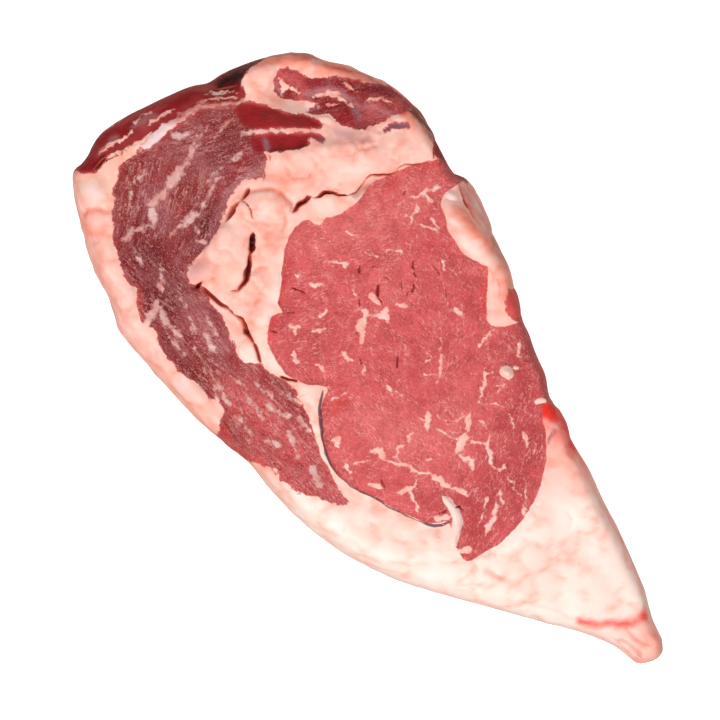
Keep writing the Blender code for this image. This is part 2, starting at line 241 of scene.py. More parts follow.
CAP_VEINS = [
    (5, [(198, 133), (193, 146), (189, 159), (182, 171)]), (11, [(184, 168), (173, 180), (166, 190)]),
    (8, [(168, 187), (157, 199), (149, 208)]), (7, [(149, 205), (153, 215), (154, 228)]),
    (6, [(153, 225), (143, 229), (131, 234), (122, 242)]), (3, [(210, 198), (203, 206), (196, 213)]),
    (6.5, [(200, 211), (188, 221), (178, 230)]), (3.5, [(182, 227), (170, 237)]),
    (2.5, [(196, 225), (198, 234)]), (8, [(176, 136), (188, 134)]),
    (4.5, [(161, 266), (161, 280), (164, 294)]), (4.5, [(188, 318), (193, 328), (196, 338)]),
    (7, [(206, 334), (211, 344), (218, 354)]), (4, [(170, 338), (178, 348), (186, 356)]),
    (4, [(194, 346), (201, 359)]), (5, [(204, 367), (214, 378), (222, 392), (230, 407)]),
    (4, [(210, 382), (219, 402)]), (4, [(230, 378), (246, 388)]), (4, [(266, 406), (288, 417)]),
    (4, [(299, 418), (310, 433)]), (5, [(267, 441), (278, 444)]), (3.5, [(288, 431), (298, 457)]),
    (9, [(312, 469), (318, 485)]), (8, [(159, 303), (151, 316), (144, 329)]),
    (7, [(158, 304), (166, 320), (174, 330), (183, 340)]), (4.5, [(234, 160), (242, 152)]),
    (5, [(198, 240), (203, 243)]), (3, [(225, 300), (233, 312)]), (3.5, [(255, 385), (270, 396)]),
    (5, [(286, 393), (300, 404)]), (3, [(214, 120), (202, 134), (196, 148)]),
    (3, [(232, 118), (220, 130), (214, 144)]), (4, [(244, 134), (262, 131)]),
    (3.5, [(134, 178), (130, 196), (132, 214)]), (3, [(146, 168), (140, 182)]), (3, [(222, 168), (208, 182)]),
    (3.5, [(220, 176), (212, 190), (206, 206)]), (3, [(136, 250), (142, 268)]), (3, [(178, 292), (186, 308)]),
    (3, [(206, 318), (216, 334)]), (3, [(248, 400), (262, 418)]), (3, [(236, 416), (252, 436)]),
    (6, [(150, 312), (142, 330)]),
]  # fmt: skip
HEAD_VEINS = [
    (7, [(279, 78), (284, 84), (283, 95)]), (4, [(292, 88), (300, 92)]),
    (5, [(312, 98), (322, 94), (338, 97)]), (6, [(330, 92), (338, 92)]), (3.5, [(338, 97), (352, 105)]),
    (4, [(366, 100), (380, 98), (392, 103)]), (3, [(345, 84), (356, 90)]), (3, [(318, 106), (338, 104)]),
    # pale streaks between the membrane side and the cap
    (5, [(98, 156), (108, 146), (120, 139)]), (5, [(104, 164), (118, 154), (132, 147)]),
    (4, [(118, 142), (132, 132)]), (6, [(124, 154), (140, 143), (152, 134)]),
    (9, [(144, 148), (155, 138), (166, 127), (178, 119)]), (5, [(146, 128), (160, 117), (176, 110)]),
    (5, [(176, 118), (192, 109), (212, 103)]), (4, [(196, 103), (216, 98), (238, 98)]),
    (4, [(206, 106), (228, 103), (244, 103)]), (3, [(134, 122), (150, 112)]),
    (4, [(205, 94), (226, 91), (238, 92)]),
]  # fmt: skip
VEINS = EYE_VEINS + CAP_VEINS + HEAD_VEINS
LUMPS = [
    # raised bits of fat: width, height in mm, and places
    (10, 1.1, [(443, 497), (450, 505), (456, 517), (456, 530), (451, 548)]),
    (14, 1.3, [(505, 371), (508, 373)]), (6, 0.6, [(537, 401), (543, 400)]),
    (9, 0.9, [(449, 195), (453, 198)]), (4, 0.4, [(515, 367), (518, 368)]),
]  # fmt: skip

# %% Cracks, pits, creases and the dark film
CRACKS = [
    # width, depth in mm, and places, first along the eye's upper end
    (7.5, 2.4, [(293, 212), (299, 206), (305, 201), (312, 196)]),
    (7.0, 2.2, [(314, 197), (320, 195), (328, 193), (340, 193)]),
    (3.6, 1.6, [(330, 193), (340, 195), (350, 196)]),
    (2.4, 1.2, [(347, 197), (355, 193), (361, 186), (367, 180)]),
    (2.8, 1.4, [(364, 181), (372, 176), (380, 175), (388, 175), (399, 171)]),
    (2.2, 1.1, [(395, 172), (401, 166), (406, 164), (412, 165), (420, 163), (427, 163)]),
    # between the lumps of the seam fat
    (8.5, 2.5, [(254, 232), (253, 240), (252, 250), (250, 257)]),
    (9.0, 2.5, [(250, 252), (249, 266), (247, 275), (243, 284), (237, 292)]),
    (2.4, 1.2, [(240, 288), (235, 291), (229, 291)]), (6.0, 1.9, [(250, 187), (246, 194), (241, 200)]),
    (7.0, 2.0, [(240, 201), (234, 208), (229, 216), (225, 222)]),
    (2.4, 1.2, [(240, 200), (246, 204), (251, 211), (253, 220)]),
    (2.4, 1.2, [(265, 170), (265, 176), (264, 181)]), (1.8, 0.9, [(268, 153), (270, 157), (270, 161)]),
    # down between the cap and the seam fat, and at the corner of the eye
    (6.0, 2.6, [(193, 289), (198, 287), (203, 283)]),
    (5.4, 2.0, [(202, 287), (208, 293), (214, 299), (221, 305), (230, 311)]),
    (6.4, 2.2, [(226, 308), (236, 316), (242, 322), (245, 330), (250, 338), (254, 346)]),
    (5.4, 1.8, [(251, 340), (256, 350), (258, 356), (260, 364)]), (6.0, 2.2, [(281, 378), (287, 380)]),
    (4.0, 2.2, [(288, 380), (295, 381)]), (1.4, 0.6, [(294, 381), (310, 383), (327, 381)]),
    # on the rib side and in the head
    (1.2, 0.6, [(497, 277), (499, 288), (498, 299)]),
    (3.6, 2.0, [(458, 184), (462, 196), (468, 206), (474, 217), (481, 227), (487, 234)]),
    (4, 2.6, [(435, 146), (434, 152), (434, 158)]), (6, 2.2, [(93, 170), (100, 165), (108, 157)]),
    (2.4, 1.0, [(381, 99), (387, 103), (394, 107)]), (3, 0.8, [(213, 88), (226, 86), (240, 84)]),
]  # fmt: skip
PITS = [
    (2.8, 1.5, [(360, 265), (359, 270), (360, 275)]), (1.6, 1.0, [(370, 269), (373, 267), (377, 267)]),
    (1.6, 0.9, [(382, 278), (387, 279), (391, 282)]), (4.4, 2.0, [(379, 284), (378, 291), (378, 298)]),
    (2.4, 1.5, [(378, 297), (380, 301), (382, 305)]), (2.6, 1.3, [(413, 261), (413, 267), (415, 271)]),
    (2.0, 1.1, [(414, 273), (416, 277)]), (2.2, 1.1, [(414, 284), (412, 291)]),
    (1.6, 0.8, [(401, 283), (401, 289)]), (1.4, 0.8, [(409, 291), (407, 295)]),
    (2.8, 1.4, [(290, 288), (295, 290), (299, 291)]), (2.4, 1.3, [(299, 291), (304, 293)]),
    (1.6, 0.9, [(287, 313), (294, 313)]), (2.6, 1.1, [(269, 330), (274, 332), (279, 332)]),
    (1.6, 0.9, [(359, 299), (360, 306)]), (2.0, 1.2, [(397, 357), (397, 368)]),
    (1.6, 0.9, [(359, 358), (361, 364)]), (3.2, 1.5, [(438, 515), (442, 513), (446, 511)]),
    (3.2, 1.5, [(454, 507), (459, 507), (462, 512)]), (1.8, 1.0, [(380, 481), (384, 487)]),
    (1.4, 0.7, [(389, 253), (389, 259)]), (1.4, 0.7, [(446, 289), (446, 297)]),
    (1.6, 0.7, [(434, 266), (440, 274)]), (2.2, 0.9, [(404, 191), (404, 194)]),
    (2.4, 0.5, [(552, 430), (549, 437), (546, 443)]),
]  # fmt: skip
CREASES = [
    # folds of the seam fat
    (3, 0.9, [(243, 198), (249, 193), (257, 190), (268, 189), (279, 192), (287, 199), (293, 207)]),
    (2, 0.6, [(323, 170), (327, 178), (324, 184), (319, 188)]), (2, 0.5, [(313, 158), (318, 166)]),
    (2, 0.6, [(358, 154), (356, 163)]), (2, 0.7, [(286, 168), (292, 177), (303, 179), (310, 175)]),
    (2.4, 0.8, [(284, 212), (286, 222), (283, 232)]), (2, 0.6, [(360, 150), (376, 146)]),
    (2, 0.5, [(342, 141), (357, 144)]), (2.4, 0.6, [(392, 159), (399, 162)]),
    (2, 0.5, [(360, 141), (375, 135), (386, 128)]), (2, 0.6, [(222, 250), (231, 253)]),
    (2.4, 0.7, [(204, 284), (210, 280), (217, 278)]), (1.6, 0.5, [(228, 306), (231, 303)]),
    (1.6, 0.6, [(257, 303), (260, 296), (264, 287)]), (2.4, 0.8, [(253, 273), (260, 269), (267, 267)]),
    (1.6, 0.5, [(249, 324), (256, 318)]), (2, 0.6, [(252, 224), (262, 222), (272, 226), (282, 224)]),
    (1.6, 0.5, [(236, 236), (231, 246)]), (2, 0.5, [(300, 190), (310, 186), (320, 188)]),
    # folds of the rim, the lower fat and the tail
    (2.4, 0.7, [(84, 213), (96, 209), (106, 213), (116, 210)]), (2, 0.5, [(84, 238), (92, 244), (98, 240)]),
    (2, 0.5, [(121, 330), (128, 326), (134, 330)]), (6, 0.7, [(485, 571), (494, 575), (503, 580)]),
    (1.6, 0.5, [(462, 581), (470, 572), (483, 561)]),
    (1.6, 0.5, [(440, 561), (461, 562), (475, 557), (491, 552), (503, 545), (513, 535), (523, 525),
        (536, 506)]),
    (2, 0.5, [(522, 603), (540, 608), (556, 611), (570, 620), (582, 623)]),
    (2.4, 0.8, [(608, 643), (622, 643), (630, 646), (642, 655)]),
    (2.4, 0.8, [(628, 629), (636, 640), (648, 647)]), (1.6, 0.4, [(569, 512), (573, 520), (570, 526)]),
]  # fmt: skip
SWELLS = [
    # domes of the seam fat, the lump and the rim: radius, height in mm, and places
    (26, 1.5, [(268, 207), (262, 212)]), (26, 1.8, [(232, 262), (228, 248)]), (16, 1.0, [(268, 247)]),
    (15, 1.0, [(262, 285)]), (15, 0.9, [(225, 292)]), (14, 0.9, [(250, 308), (262, 318)]),
    (18, 1.1, [(295, 172), (306, 168)]), (17, 1.1, [(340, 176), (352, 168)]), (14, 0.9, [(330, 152)]),
    (13, 0.9, [(376, 160)]), (13, 0.9, [(398, 142)]), (14, 0.8, [(330, 205), (348, 202)]),
    (12, 0.9, [(196, 272)]), (15, 1.3, [(452, 214), (464, 228), (478, 244)]),
    (11, 1.2, [(462, 184), (474, 202), (486, 224)]), (14, 1.2, [(95, 192)]), (16, 1.0, [(92, 226)]),
    (16, 0.8, [(108, 270)]), (11, 1.0, [(510, 300), (515, 312)]), (14, 1.2, [(550, 420), (560, 432)]),
    (12, 0.8, [(146, 122)]), (18, 0.8, [(262, 76), (254, 92)]), (14, 0.7, [(444, 548), (430, 540)]),
]  # fmt: skip
FILM = [
    (4.2, [(322, 391), (320, 404), (320, 417), (321, 429), (323, 444)]),
    (2.8, [(322, 438), (328, 460), (339, 478)]),
    (2.2, [(337, 476), (348, 485), (358, 491), (381, 502), (394, 510), (408, 517), (422, 523)]),
    (3.8, [(418, 521), (430, 525), (439, 526), (451, 521)]),
]  # fmt: skip

drawn = {"veins": VEINS, "cracks": CRACKS, "pits": PITS, "creases": CREASES, "swells": SWELLS}
print(*(f"{len(lines)} {name}" for name, lines in drawn.items()), sep=", ")

# %% [markdown]
# ## A mesh that can hold the detail
# The solid has faces several millimetres wide. A copy of it is remeshed into even cells and smoothed, so
# that its facets go. Then its upper face is split once where it is lean, and twice where there is something
# fine to hold.
# The smoothing is Taubin's: each step in is followed by a slightly longer step out, so it takes away the
# facets but not the volume.

# %% Distances to outlines and lines
def ramp(low, high, value):
    """0 at low, 1 at high, with a smooth rise or fall between."""
    share = np.clip((value - low) / (high - low), 0, 1)
    return share * share * (3 - 2 * share)


def gap_to(spots, route):
    """The distance from each spot to a line through points, or to a single point."""
    if len(route) == 1:
        return np.hypot(*(spots - route[0]).T)
    nearest = np.full(len(spots), np.inf)
    for start, end in zip(route, route[1:]):
        run = end - start
        share = np.clip(((spots - start) @ run) / (run @ run), 0, 1)
        nearest = np.minimum(nearest, np.hypot(*(spots - start - share[:, None] * run).T))
    return nearest


def inside(spots, outline):
    """The distance of each spot from a closed outline: above zero inside it, below zero outside."""
    closed = np.vstack([outline, outline[:1]])
    crossed = np.zeros(len(spots), bool)
    x, y = spots.T
    for (x1, y1), (x2, y2) in zip(closed, closed[1:]):
        if y1 != y2:
            crossed ^= ((y1 > y) != (y2 > y)) & (x < (x2 - x1) * (y - y1) / (y2 - y1) + x1)
    return np.where(crossed, 1, -1) * gap_to(spots, closed)


# Beyond REACH mm a line doesn't count. The widths are shares of the drawn width, for the ends of a line and
# for a short one, and FULLNESS says how soon a line gets wide.
REACH, END_WIDTH, SHORT_WIDTH, FULLNESS = 4.0, 0.25, 0.85, 0.6


def to_line(spots, width, places):
    """How far each spot is outside a drawn line that tapers to both ends. Below zero is on it."""
    route = curved(places)
    far = np.full(len(spots), REACH)
    within = (spots > route.min(axis=0) - REACH) & (spots < route.max(axis=0) + REACH)
    near = np.flatnonzero(np.all(within, axis=1))
    lengths = np.concatenate([[0], np.cumsum(np.hypot(*np.diff(route, axis=0).T))])
    taper = END_WIDTH + (1 - END_WIDTH) * np.sin(np.pi * lengths / lengths[-1]).clip(0) ** FULLNESS
    if len(route) == 2:
        taper[:] = SHORT_WIDTH
    half = width * FACE_PIXEL / 2 * taper
    close = spots[near]
    nearest = np.full(len(close), REACH)
    for start, end, half_start, half_end in zip(route, route[1:], half, half[1:]):
        run = end - start
        share = np.clip(((close - start) @ run) / (run @ run), 0, 1)
        gap = np.hypot(*(close - start - share[:, None] * run).T)
        nearest = np.minimum(nearest, gap - half_start - share * (half_end - half_start))
    far[near] = nearest
    return far


def to_lines(spots, lines):
    """How far each spot is outside the nearest of several drawn lines."""
    return np.min([to_line(spots, width, places) for width, *_, places in lines], axis=0)


# %% Reading and smoothing a mesh
def mesh_points(mesh):
    """The mesh's vertices, in millimetres."""
    points = np.empty(len(mesh.vertices) * 3, np.float32)
    mesh.vertices.foreach_get("co", points)
    return points.reshape(-1, 3).astype(float) / MM


def set_points(mesh, points):
    """Moves the mesh's vertices to these places, in millimetres."""
    mesh.vertices.foreach_set("co", (points * MM).astype(np.float32).ravel())
    mesh.update()


def smooth(mesh, rounds, inwards=0.5, outwards=-0.53):
    """Taubin smoothing: it flattens facets and keeps the volume."""
    edges = np.empty(len(mesh.edges) * 2, np.int32)
    mesh.edges.foreach_get("vertices", edges)
    a, b = edges.reshape(-1, 2).T
    count = np.bincount(np.concatenate([a, b]), minlength=len(mesh.vertices))
    points = mesh_points(mesh)
    for step in [inwards, outwards] * rounds:
        total = np.column_stack([
            np.bincount(a, points[b, axis], len(points)) + np.bincount(b, points[a, axis], len(points))
            for axis in range(3)
        ])
        points += step * (total / count[:, None] - points)
    set_points(mesh, points)


def baked(thing):
    """A plain mesh of an object as it stands after its modifiers."""
    bpy.context.view_layer.update()
    graph = bpy.context.evaluated_depsgraph_get()
    return bpy.data.meshes.new_from_object(thing.evaluated_get(graph))


# %% Copy, remesh and refine
CELL = 1.7
UPWARDS, SPLIT_ABOVE = 0.35, BULGE_HEIGHT - 8
FINE_GAP, BROAD_GAP = 0.5, 1.6

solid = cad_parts["rib_roast"]
shape = bmesh.new()
shape.from_mesh(solid.data)
bmesh.ops.remove_doubles(shape, verts=shape.verts, dist=0.01 * MM)
roast_mesh = bpy.data.meshes.new("roast")
shape.to_mesh(roast_mesh)
shape.free()
roast = bpy.data.objects.new("roast", roast_mesh)
bpy.context.scene.collection.objects.link(roast)
cells = roast.modifiers.new("even cells", "REMESH")
cells.mode = "VOXEL"
cells.voxel_size = CELL * MM
roast.data = baked(roast)
roast.modifiers.clear()
smooth(roast.data, 6)


def refine(mesh, wanted):
    """Splits each upper face for which wanted says so, given the faces' centres in mm."""
    centres = np.empty(len(mesh.polygons) * 3, np.float32)
    normals = np.empty(len(mesh.polygons) * 3, np.float32)
    mesh.polygons.foreach_get("center", centres)
    mesh.polygons.foreach_get("normal", normals)
    centres = centres.reshape(-1, 3).astype(float) / MM
    upper = (normals.reshape(-1, 3)[:, 2] > UPWARDS) & (centres[:, 2] > SPLIT_ABOVE)
    chosen = np.flatnonzero(wanted(centres[:, :2]) & upper)
    shape = bmesh.new()
    shape.from_mesh(mesh)
    shape.faces.ensure_lookup_table()
    edges = {edge for index in chosen for edge in shape.faces[index].edges}
    bmesh.ops.subdivide_edges(shape, edges=list(edges), cuts=1, use_grid_fill=True)
    bmesh.ops.triangulate(shape, faces=[face for face in shape.faces if len(face.verts) > 4])
    shape.to_mesh(mesh)
    shape.free()


def to_detail(spots):
    """How far each spot is from the nearest border, vein, crack, crease or film."""
    borders = [np.abs(inside(spots, outline)) for outline in MUSCLES.values()]
    lines = [np.abs(to_lines(spots, VEINS + LUMPS)), to_lines(spots, CRACKS + PITS), to_lines(spots, CREASES)]
    return np.min([*borders, *lines, np.abs(to_lines(spots, FILM))], axis=0)


def in_muscle(spots):
    """Whether each spot lies inside an outline."""
    return np.max([inside(spots, outline) for outline in MUSCLES.values()], axis=0) > 0


refine(roast.data, lambda spots: in_muscle(spots) | (to_detail(spots) < BROAD_GAP))
refine(roast.data, lambda spots: to_detail(spots) < FINE_GAP)
smooth(roast.data, 3)
triangles = sum(len(face.vertices) - 2 for face in roast.data.polygons)
print(len(roast.data.vertices), "vertices,", triangles, "triangles")

# %% [markdown]
# ## What each spot of the surface is
# Every vertex gets a few numbers, in millimetres, that the relief and the finish both read: how deep it is
# inside a muscle, how far it is from a vein, and how deep it lies in a crack.
# Distances do this better than painted colours. Between two vertices a distance changes evenly, so a
# border drawn where it passes zero is sharp, even where the mesh is coarser than a pixel.
# The muscles run on through the thickness of the roast, so the same numbers dress its sides. There the
# places wander more, as muscles and fat do from one cut face to the other. Narrow patches of tone belong to
# the cut face, so they fade down the sides.

# %% Random but repeatable unevenness
def waves(points, size, seed=0):
    """Smooth random values from about -1 to 1, in lumps of this size."""
    shift = Vector((seed * 7.1, seed * 3.3, 0))
    return np.array([noise.noise(Vector(place) / size + shift) for place in points])


def wander(points, size, amount, seed):
    """Random steps sideways, up to about this many millimetres."""
    return amount * np.column_stack([waves(points, size, seed), waves(points, size, seed + 0.5)])


# Between these slopes and heights, in mm, a share goes from 0 to 1: on a side, low on it, and below the face.
STEEP, FLAT_TOP = (0.6, 0.2), (0.1, 0.5)
LOW, BELOW_FACE = (BULGE_HEIGHT + 4, BULGE_HEIGHT - 12), (FACE_HEIGHT - 8, BULGE_HEIGHT - 12)

points = mesh_points(roast.data)
normals = np.empty(len(points) * 3, np.float32)
roast.data.vertices.foreach_get("normal", normals)
facing_up = normals.reshape(-1, 3)[:, 2]
steep = ramp(*STEEP, facing_up)
lower = steep * ramp(*LOW, points[:, 2])
down = steep * ramp(*BELOW_FACE, points[:, 2])
sides = 1 - ramp(*FLAT_TOP, facing_up) * (1 - lower)
spots = points[:, :2] + down[:, None] * wander(points, 16, 9, 1) + wander(points, 3, 0.3, 3)
print(f"{np.mean(sides > 0.5):.0%} of the vertices are on the sides and underneath")

# %% How deep in a muscle, a vein or a crack
# In each call of wander come the size of its waves and how far they push, in mm, and a seed.
SIDE_LUMP, SIDE_FAT, SIDE_FAT_DEPTH = 16, 0.2, 14
VEIN_TRIM, CAP_SOFTNESS, PIT_SHARE = 0.16, 0.5, 0.5
CARVED_ABOVE = (BULGE_HEIGHT - 10, BULGE_HEIGHT - 4)

own = {name: inside(spots, outline) for name, outline in MUSCLES.items()}
own["cap"] = inside(spots + wander(points, 6, 1.6, 21), MUSCLES["cap"])
depth = np.max(list(own.values()), axis=0)
patches = waves(points * (1, 1, 1.7), SIDE_LUMP, 5) - SIDE_FAT
depth += (depth > 0) * lower * np.minimum(0, -SIDE_FAT_DEPTH * patches)
vein_spots = spots + wander(points, 2.6, 0.8, 8) + wander(points, 1.2, 0.6, 9)
lump = -to_lines(spots + wander(points, 4, 0.4, 10), LUMPS)
vein = np.maximum(-to_lines(vein_spots, VEINS) - VEIN_TRIM, lump)
film = -to_lines(spots + wander(points, 5, 0.3, 11), FILM)
crack_wander = wander(points, 3.5, 0.45, 12)


def carved(lines, edge, floor):
    """How deep each spot lies in drawn grooves, in millimetres.

    A groove starts this edge outside its line, in mm, and is deepest at this share of its half width.
    """
    deepest = np.zeros(len(spots))
    for width, depth_of_line, places in lines:
        gap = to_line(spots + crack_wander, width, places)
        half = width * FACE_PIXEL / 2
        deepest = np.maximum(deepest, depth_of_line * ramp(edge, -floor * half, gap))
    return deepest * ramp(*CARVED_ABOVE, points[:, 2]) * (1 - sides)


crack = carved(CRACKS, edge=0.15, floor=0.95)
pit = PIT_SHARE * carved(PITS, edge=0.1, floor=0.45)
crease = carved(CREASES, edge=1.5, floor=0.9)
found = {"in a muscle": depth > 0, "on a vein": vein > 0, "in a crack": crack > 1}
print(*(f"{np.mean(there):.1%} {where}" for where, there in found.items()), sep=", ")

# %% [markdown]
# ## Carving and raising
# The solid has the broad forms. The narrow ones are cut and raised here: cracks and pits go straight down,
# creases fold the fat, the veins stand a hair proud of the lean, which has shrunk back from the knife, and a
# few small lumps of fat sit on the surface.

# %% Move the vertices
VEIN_HEIGHT, LEAN_SINK = 0.2, 0.4
VEIN_SLOPE, LEAN_SLOPE = (-0.3, 0.4), (-0.2, 1.4)

rise = np.zeros(len(points))
for width, height, places in LUMPS:
    half = width * FACE_PIXEL / 2
    gap = to_line(spots + wander(points, 4, 0.4, 10), width, places)
    rise = np.maximum(rise, height * np.sqrt(ramp(0.1, -half, gap)))
for radius, height, places in SWELLS:
    reach = radius * FACE_PIXEL
    gap = gap_to(spots + wander(points, 7, 1.2, 13), curved(places))
    rise = np.maximum(rise, height * (1 - np.minimum(gap / reach, 1) ** 2) ** 1.5)
rise += VEIN_HEIGHT * ramp(*VEIN_SLOPE, vein) - LEAN_SINK * ramp(*LEAN_SLOPE, depth)
rise -= crack + pit + crease
points += (rise * (1 - lower))[:, None] * normals.reshape(-1, 3)
set_points(roast.data, points)
print(f"moved by {rise.min():.1f} to {rise.max():.1f} mm")

# %% [markdown]
# ## Colours of lean and fat
# Fresh beef isn't one red. The eye is a light rose, because its fibres are cut straight across. The cap is
# darker and browner, and its thin silvery membrane turns it grey. The seam fat is a warm pink, and
# the thick fat of the tail is nearly white.
# Each tone is a named colour, laid in soft patches along lines where it shows. Some patches are painted
# shade, on the sides that face away from the light, in hollows and under lumps, and a few are painted
# highlights on lumps of fat. Two such fields are made, one for lean and one for fat, so that the sharp border
# between the two stays free of them.

# %% Tones
TONES = {
    "rose": "#DD6263", "light rose": "#EA7874", "deep rose": "#C64F52", "crimson": "#9E3435",
    "brown red": "#7C2B29", "deep red": "#9A1D22", "dark red": "#8A0E14", "bright red": "#E8453A",
    "silver rose": "#C98A8C", "grey violet": "#8D7079", "brown": "#5A211B", "silver": "#F0D3D2",
    "fat": "#FDC6B8", "pale fat": "#FFE8DD", "white fat and highlight": "#FEDACE", "rosy fat": "#FBAA99",
    "marbling": "#F4C3B9", "cap marbling": "#DCAEA8", "yellow fat": "#F2CBB6", "salmon": "#F68F78",
    "brown fat and shade": "#B56055", "orange red": "#EE352A", "membrane": "#C87F76", "black red": "#240305",
    "wall red": "#A51824", "pink red": "#E25A55", "vessel grey": "#7A5560",
}  # fmt: skip


def linear(code):
    """A colour code of the screen as linear red, green and blue."""
    parts = np.array([int(code[i : i + 2], 16) for i in (1, 3, 5)]) / 255
    return np.where(parts <= 0.04045, parts / 12.92, ((parts + 0.055) / 1.055) ** 2.4)


NARROW, NARROW_FADE = 26, 0.9


def lay(colours, patches):
    """Lays soft patches over the colours: each has a tone, a strength, a width in pixels and a line.

    A patch narrower than NARROW pixels is a mark on the cut face, so it fades down the sides.
    """
    for name, strength, width, places in patches:
        share = strength * ramp(width * FACE_PIXEL, 0, gap_to(patch_spots, curved(places)))
        if width < NARROW:
            share *= 1 - NARROW_FADE * down
        colours += share[:, None] * (linear(TONES[name]) - colours)
    return colours


patch_spots = spots + wander(points, 9, 1.5, 6) + wander(points, 2.5, 0.8, 7)

# %% Lean
LEAN_BASES = {
    "cap": "crimson", "head muscle": "deep red", "upper band": "deep red", "lower band": "deep red",
    # The side wall's dark red is partly lean and partly painted shade on that shaded side.
    "head wall": "wall red", "side wall": "dark red", "red bump": "pink red", "vessel": "vessel grey",
}  # fmt: skip
LEAN_PATCHES = [
    ("light rose", 0.8, 45, [(315, 240), (360, 225), (410, 200)]), ("light rose", 0.6, 40, [(385, 285)]),
    ("light rose", 0.8, 45, [(370, 420), (410, 440)]), ("light rose", 0.5, 35, [(460, 400), (440, 470)]),
    ("deep rose", 0.8, 40, [(520, 345), (530, 400), (525, 460)]),
    ("deep rose", 0.5, 30, [(455, 260), (478, 300)]), ("deep rose", 0.6, 35, [(515, 480), (480, 530)]),
    ("deep rose", 0.4, 35, [(300, 350), (330, 330)]), ("bright red", 0.5, 8, [(484, 272), (486, 318)]),
    ("bright red", 0.35, 9, [(286, 262), (279, 300), (270, 340)]),
    ("bright red", 0.4, 8, [(440, 545), (462, 556)]),
    ("bright red", 0.3, 9, [(380, 195), (412, 170), (440, 165)]),
    ("bright red", 0.4, 8, [(345, 400), (330, 412)]), ("light rose", 0.5, 12, [(470, 268), (482, 276)]),
    ("brown red", 0.5, 40, [(150, 215), (150, 240)]), ("brown red", 0.85, 34, [(150, 262), (172, 300)]),
    ("brown red", 0.55, 26, [(238, 135), (212, 160)]), ("silver rose", 0.35, 20, [(150, 195), (165, 225)]),
    ("silver rose", 0.65, 8, [(262, 168), (240, 184), (226, 204), (216, 228), (203, 250)]),
    ("brown red", 0.8, 24, [(210, 215), (195, 250)]), ("silver rose", 0.3, 26, [(190, 300), (215, 345)]),
    ("silver rose", 0.25, 24, [(175, 150), (215, 170)]),
    ("rose", 0.9, 50, [(240, 400), (290, 450), (335, 500)]), ("brown red", 0.6, 9, [(142, 295), (150, 320)]),
    ("brown red", 0.5, 12, [(165, 345), (200, 385), (235, 440)]),
    ("bright red", 0.45, 7, [(136, 290), (142, 322)]),
    ("bright red", 0.6, 10, [(222, 425), (230, 448), (262, 464)]),
    ("rose", 0.7, 14, [(280, 78), (300, 84), (302, 96)]),
    ("silver rose", 0.8, 8, [(306, 94), (330, 92), (348, 98), (356, 108)]),
    ("dark red", 0.55, 7, [(308, 79), (325, 83), (343, 82)]),
    ("dark red", 0.5, 7, [(352, 86), (366, 90), (378, 94)]), ("rose", 0.6, 10, [(352, 106), (372, 110)]),
    ("dark red", 0.45, 6, [(386, 92), (398, 100)]),
    ("silver rose", 0.6, 8, [(366, 106), (380, 110), (390, 114)]),
    ("grey violet", 0.9, 6, [(355, 110), (361, 119)]), ("rose", 0.6, 13, [(374, 102), (396, 98), (402, 108)]),
    ("rose", 0.5, 9, [(366, 120), (386, 116)]), ("silver rose", 0.7, 5, [(277, 84), (281, 94)]),
    ("grey violet", 0.9, 5, [(262, 142), (266, 151)]), ("grey violet", 0.8, 5, [(315, 138), (325, 141)]),
    ("brown", 0.75, 4, [(270, 153), (291, 150), (308, 146)]), ("brown red", 0.5, 9, [(262, 116), (300, 122)]),
    ("silver rose", 0.6, 8, [(96, 152), (116, 139)]), ("silver rose", 0.7, 9, [(138, 126), (158, 116)]),
    ("deep red", 0.8, 10, [(182, 100), (212, 92), (244, 96)]), ("deep red", 0.8, 9, [(84, 165), (104, 138)]),
    ("crimson", 0.85, 13, [(108, 158), (138, 138), (170, 116), (206, 101), (240, 97)]),
    ("deep rose", 0.5, 6, [(120, 124), (146, 110), (166, 102)]),
    # The black red patch on the next line and the brown one after it are painted shade, in the hollow of the
    # head and up along the rim.
    ("membrane", 0.6, 10, [(452, 150), (466, 178)]), ("black red", 0.98, 15, [(220, 80), (240, 74)]),
    ("brown", 0.95, 11, [(246, 66), (264, 58)]), ("dark red", 0.65, 9, [(364, 84), (392, 94)]),
    ("deep red", 0.8, 9, [(320, 109), (345, 118), (366, 124)]),
    ("deep rose", 0.7, 40, [(520, 435), (512, 470)]), ("deep rose", 0.65, 34, [(430, 500), (470, 495)]),
    # Both patches on the next line are painted shade: in the dark crease at the head's left, and along the
    # shaded upper edge.
    ("black red", 0.8, 7, [(96, 166), (104, 158)]), ("brown fat and shade", 0.7, 7, [(158, 96), (186, 86), (212, 88)]),
]  # fmt: skip

lean = np.tile(linear(TONES["rose"]), (len(points), 1))
for name, tone in LEAN_BASES.items():
    lean += ramp(-1, 1.5, own[name])[:, None] * (linear(TONES[tone]) - lean)
lean = lay(lean, LEAN_PATCHES)

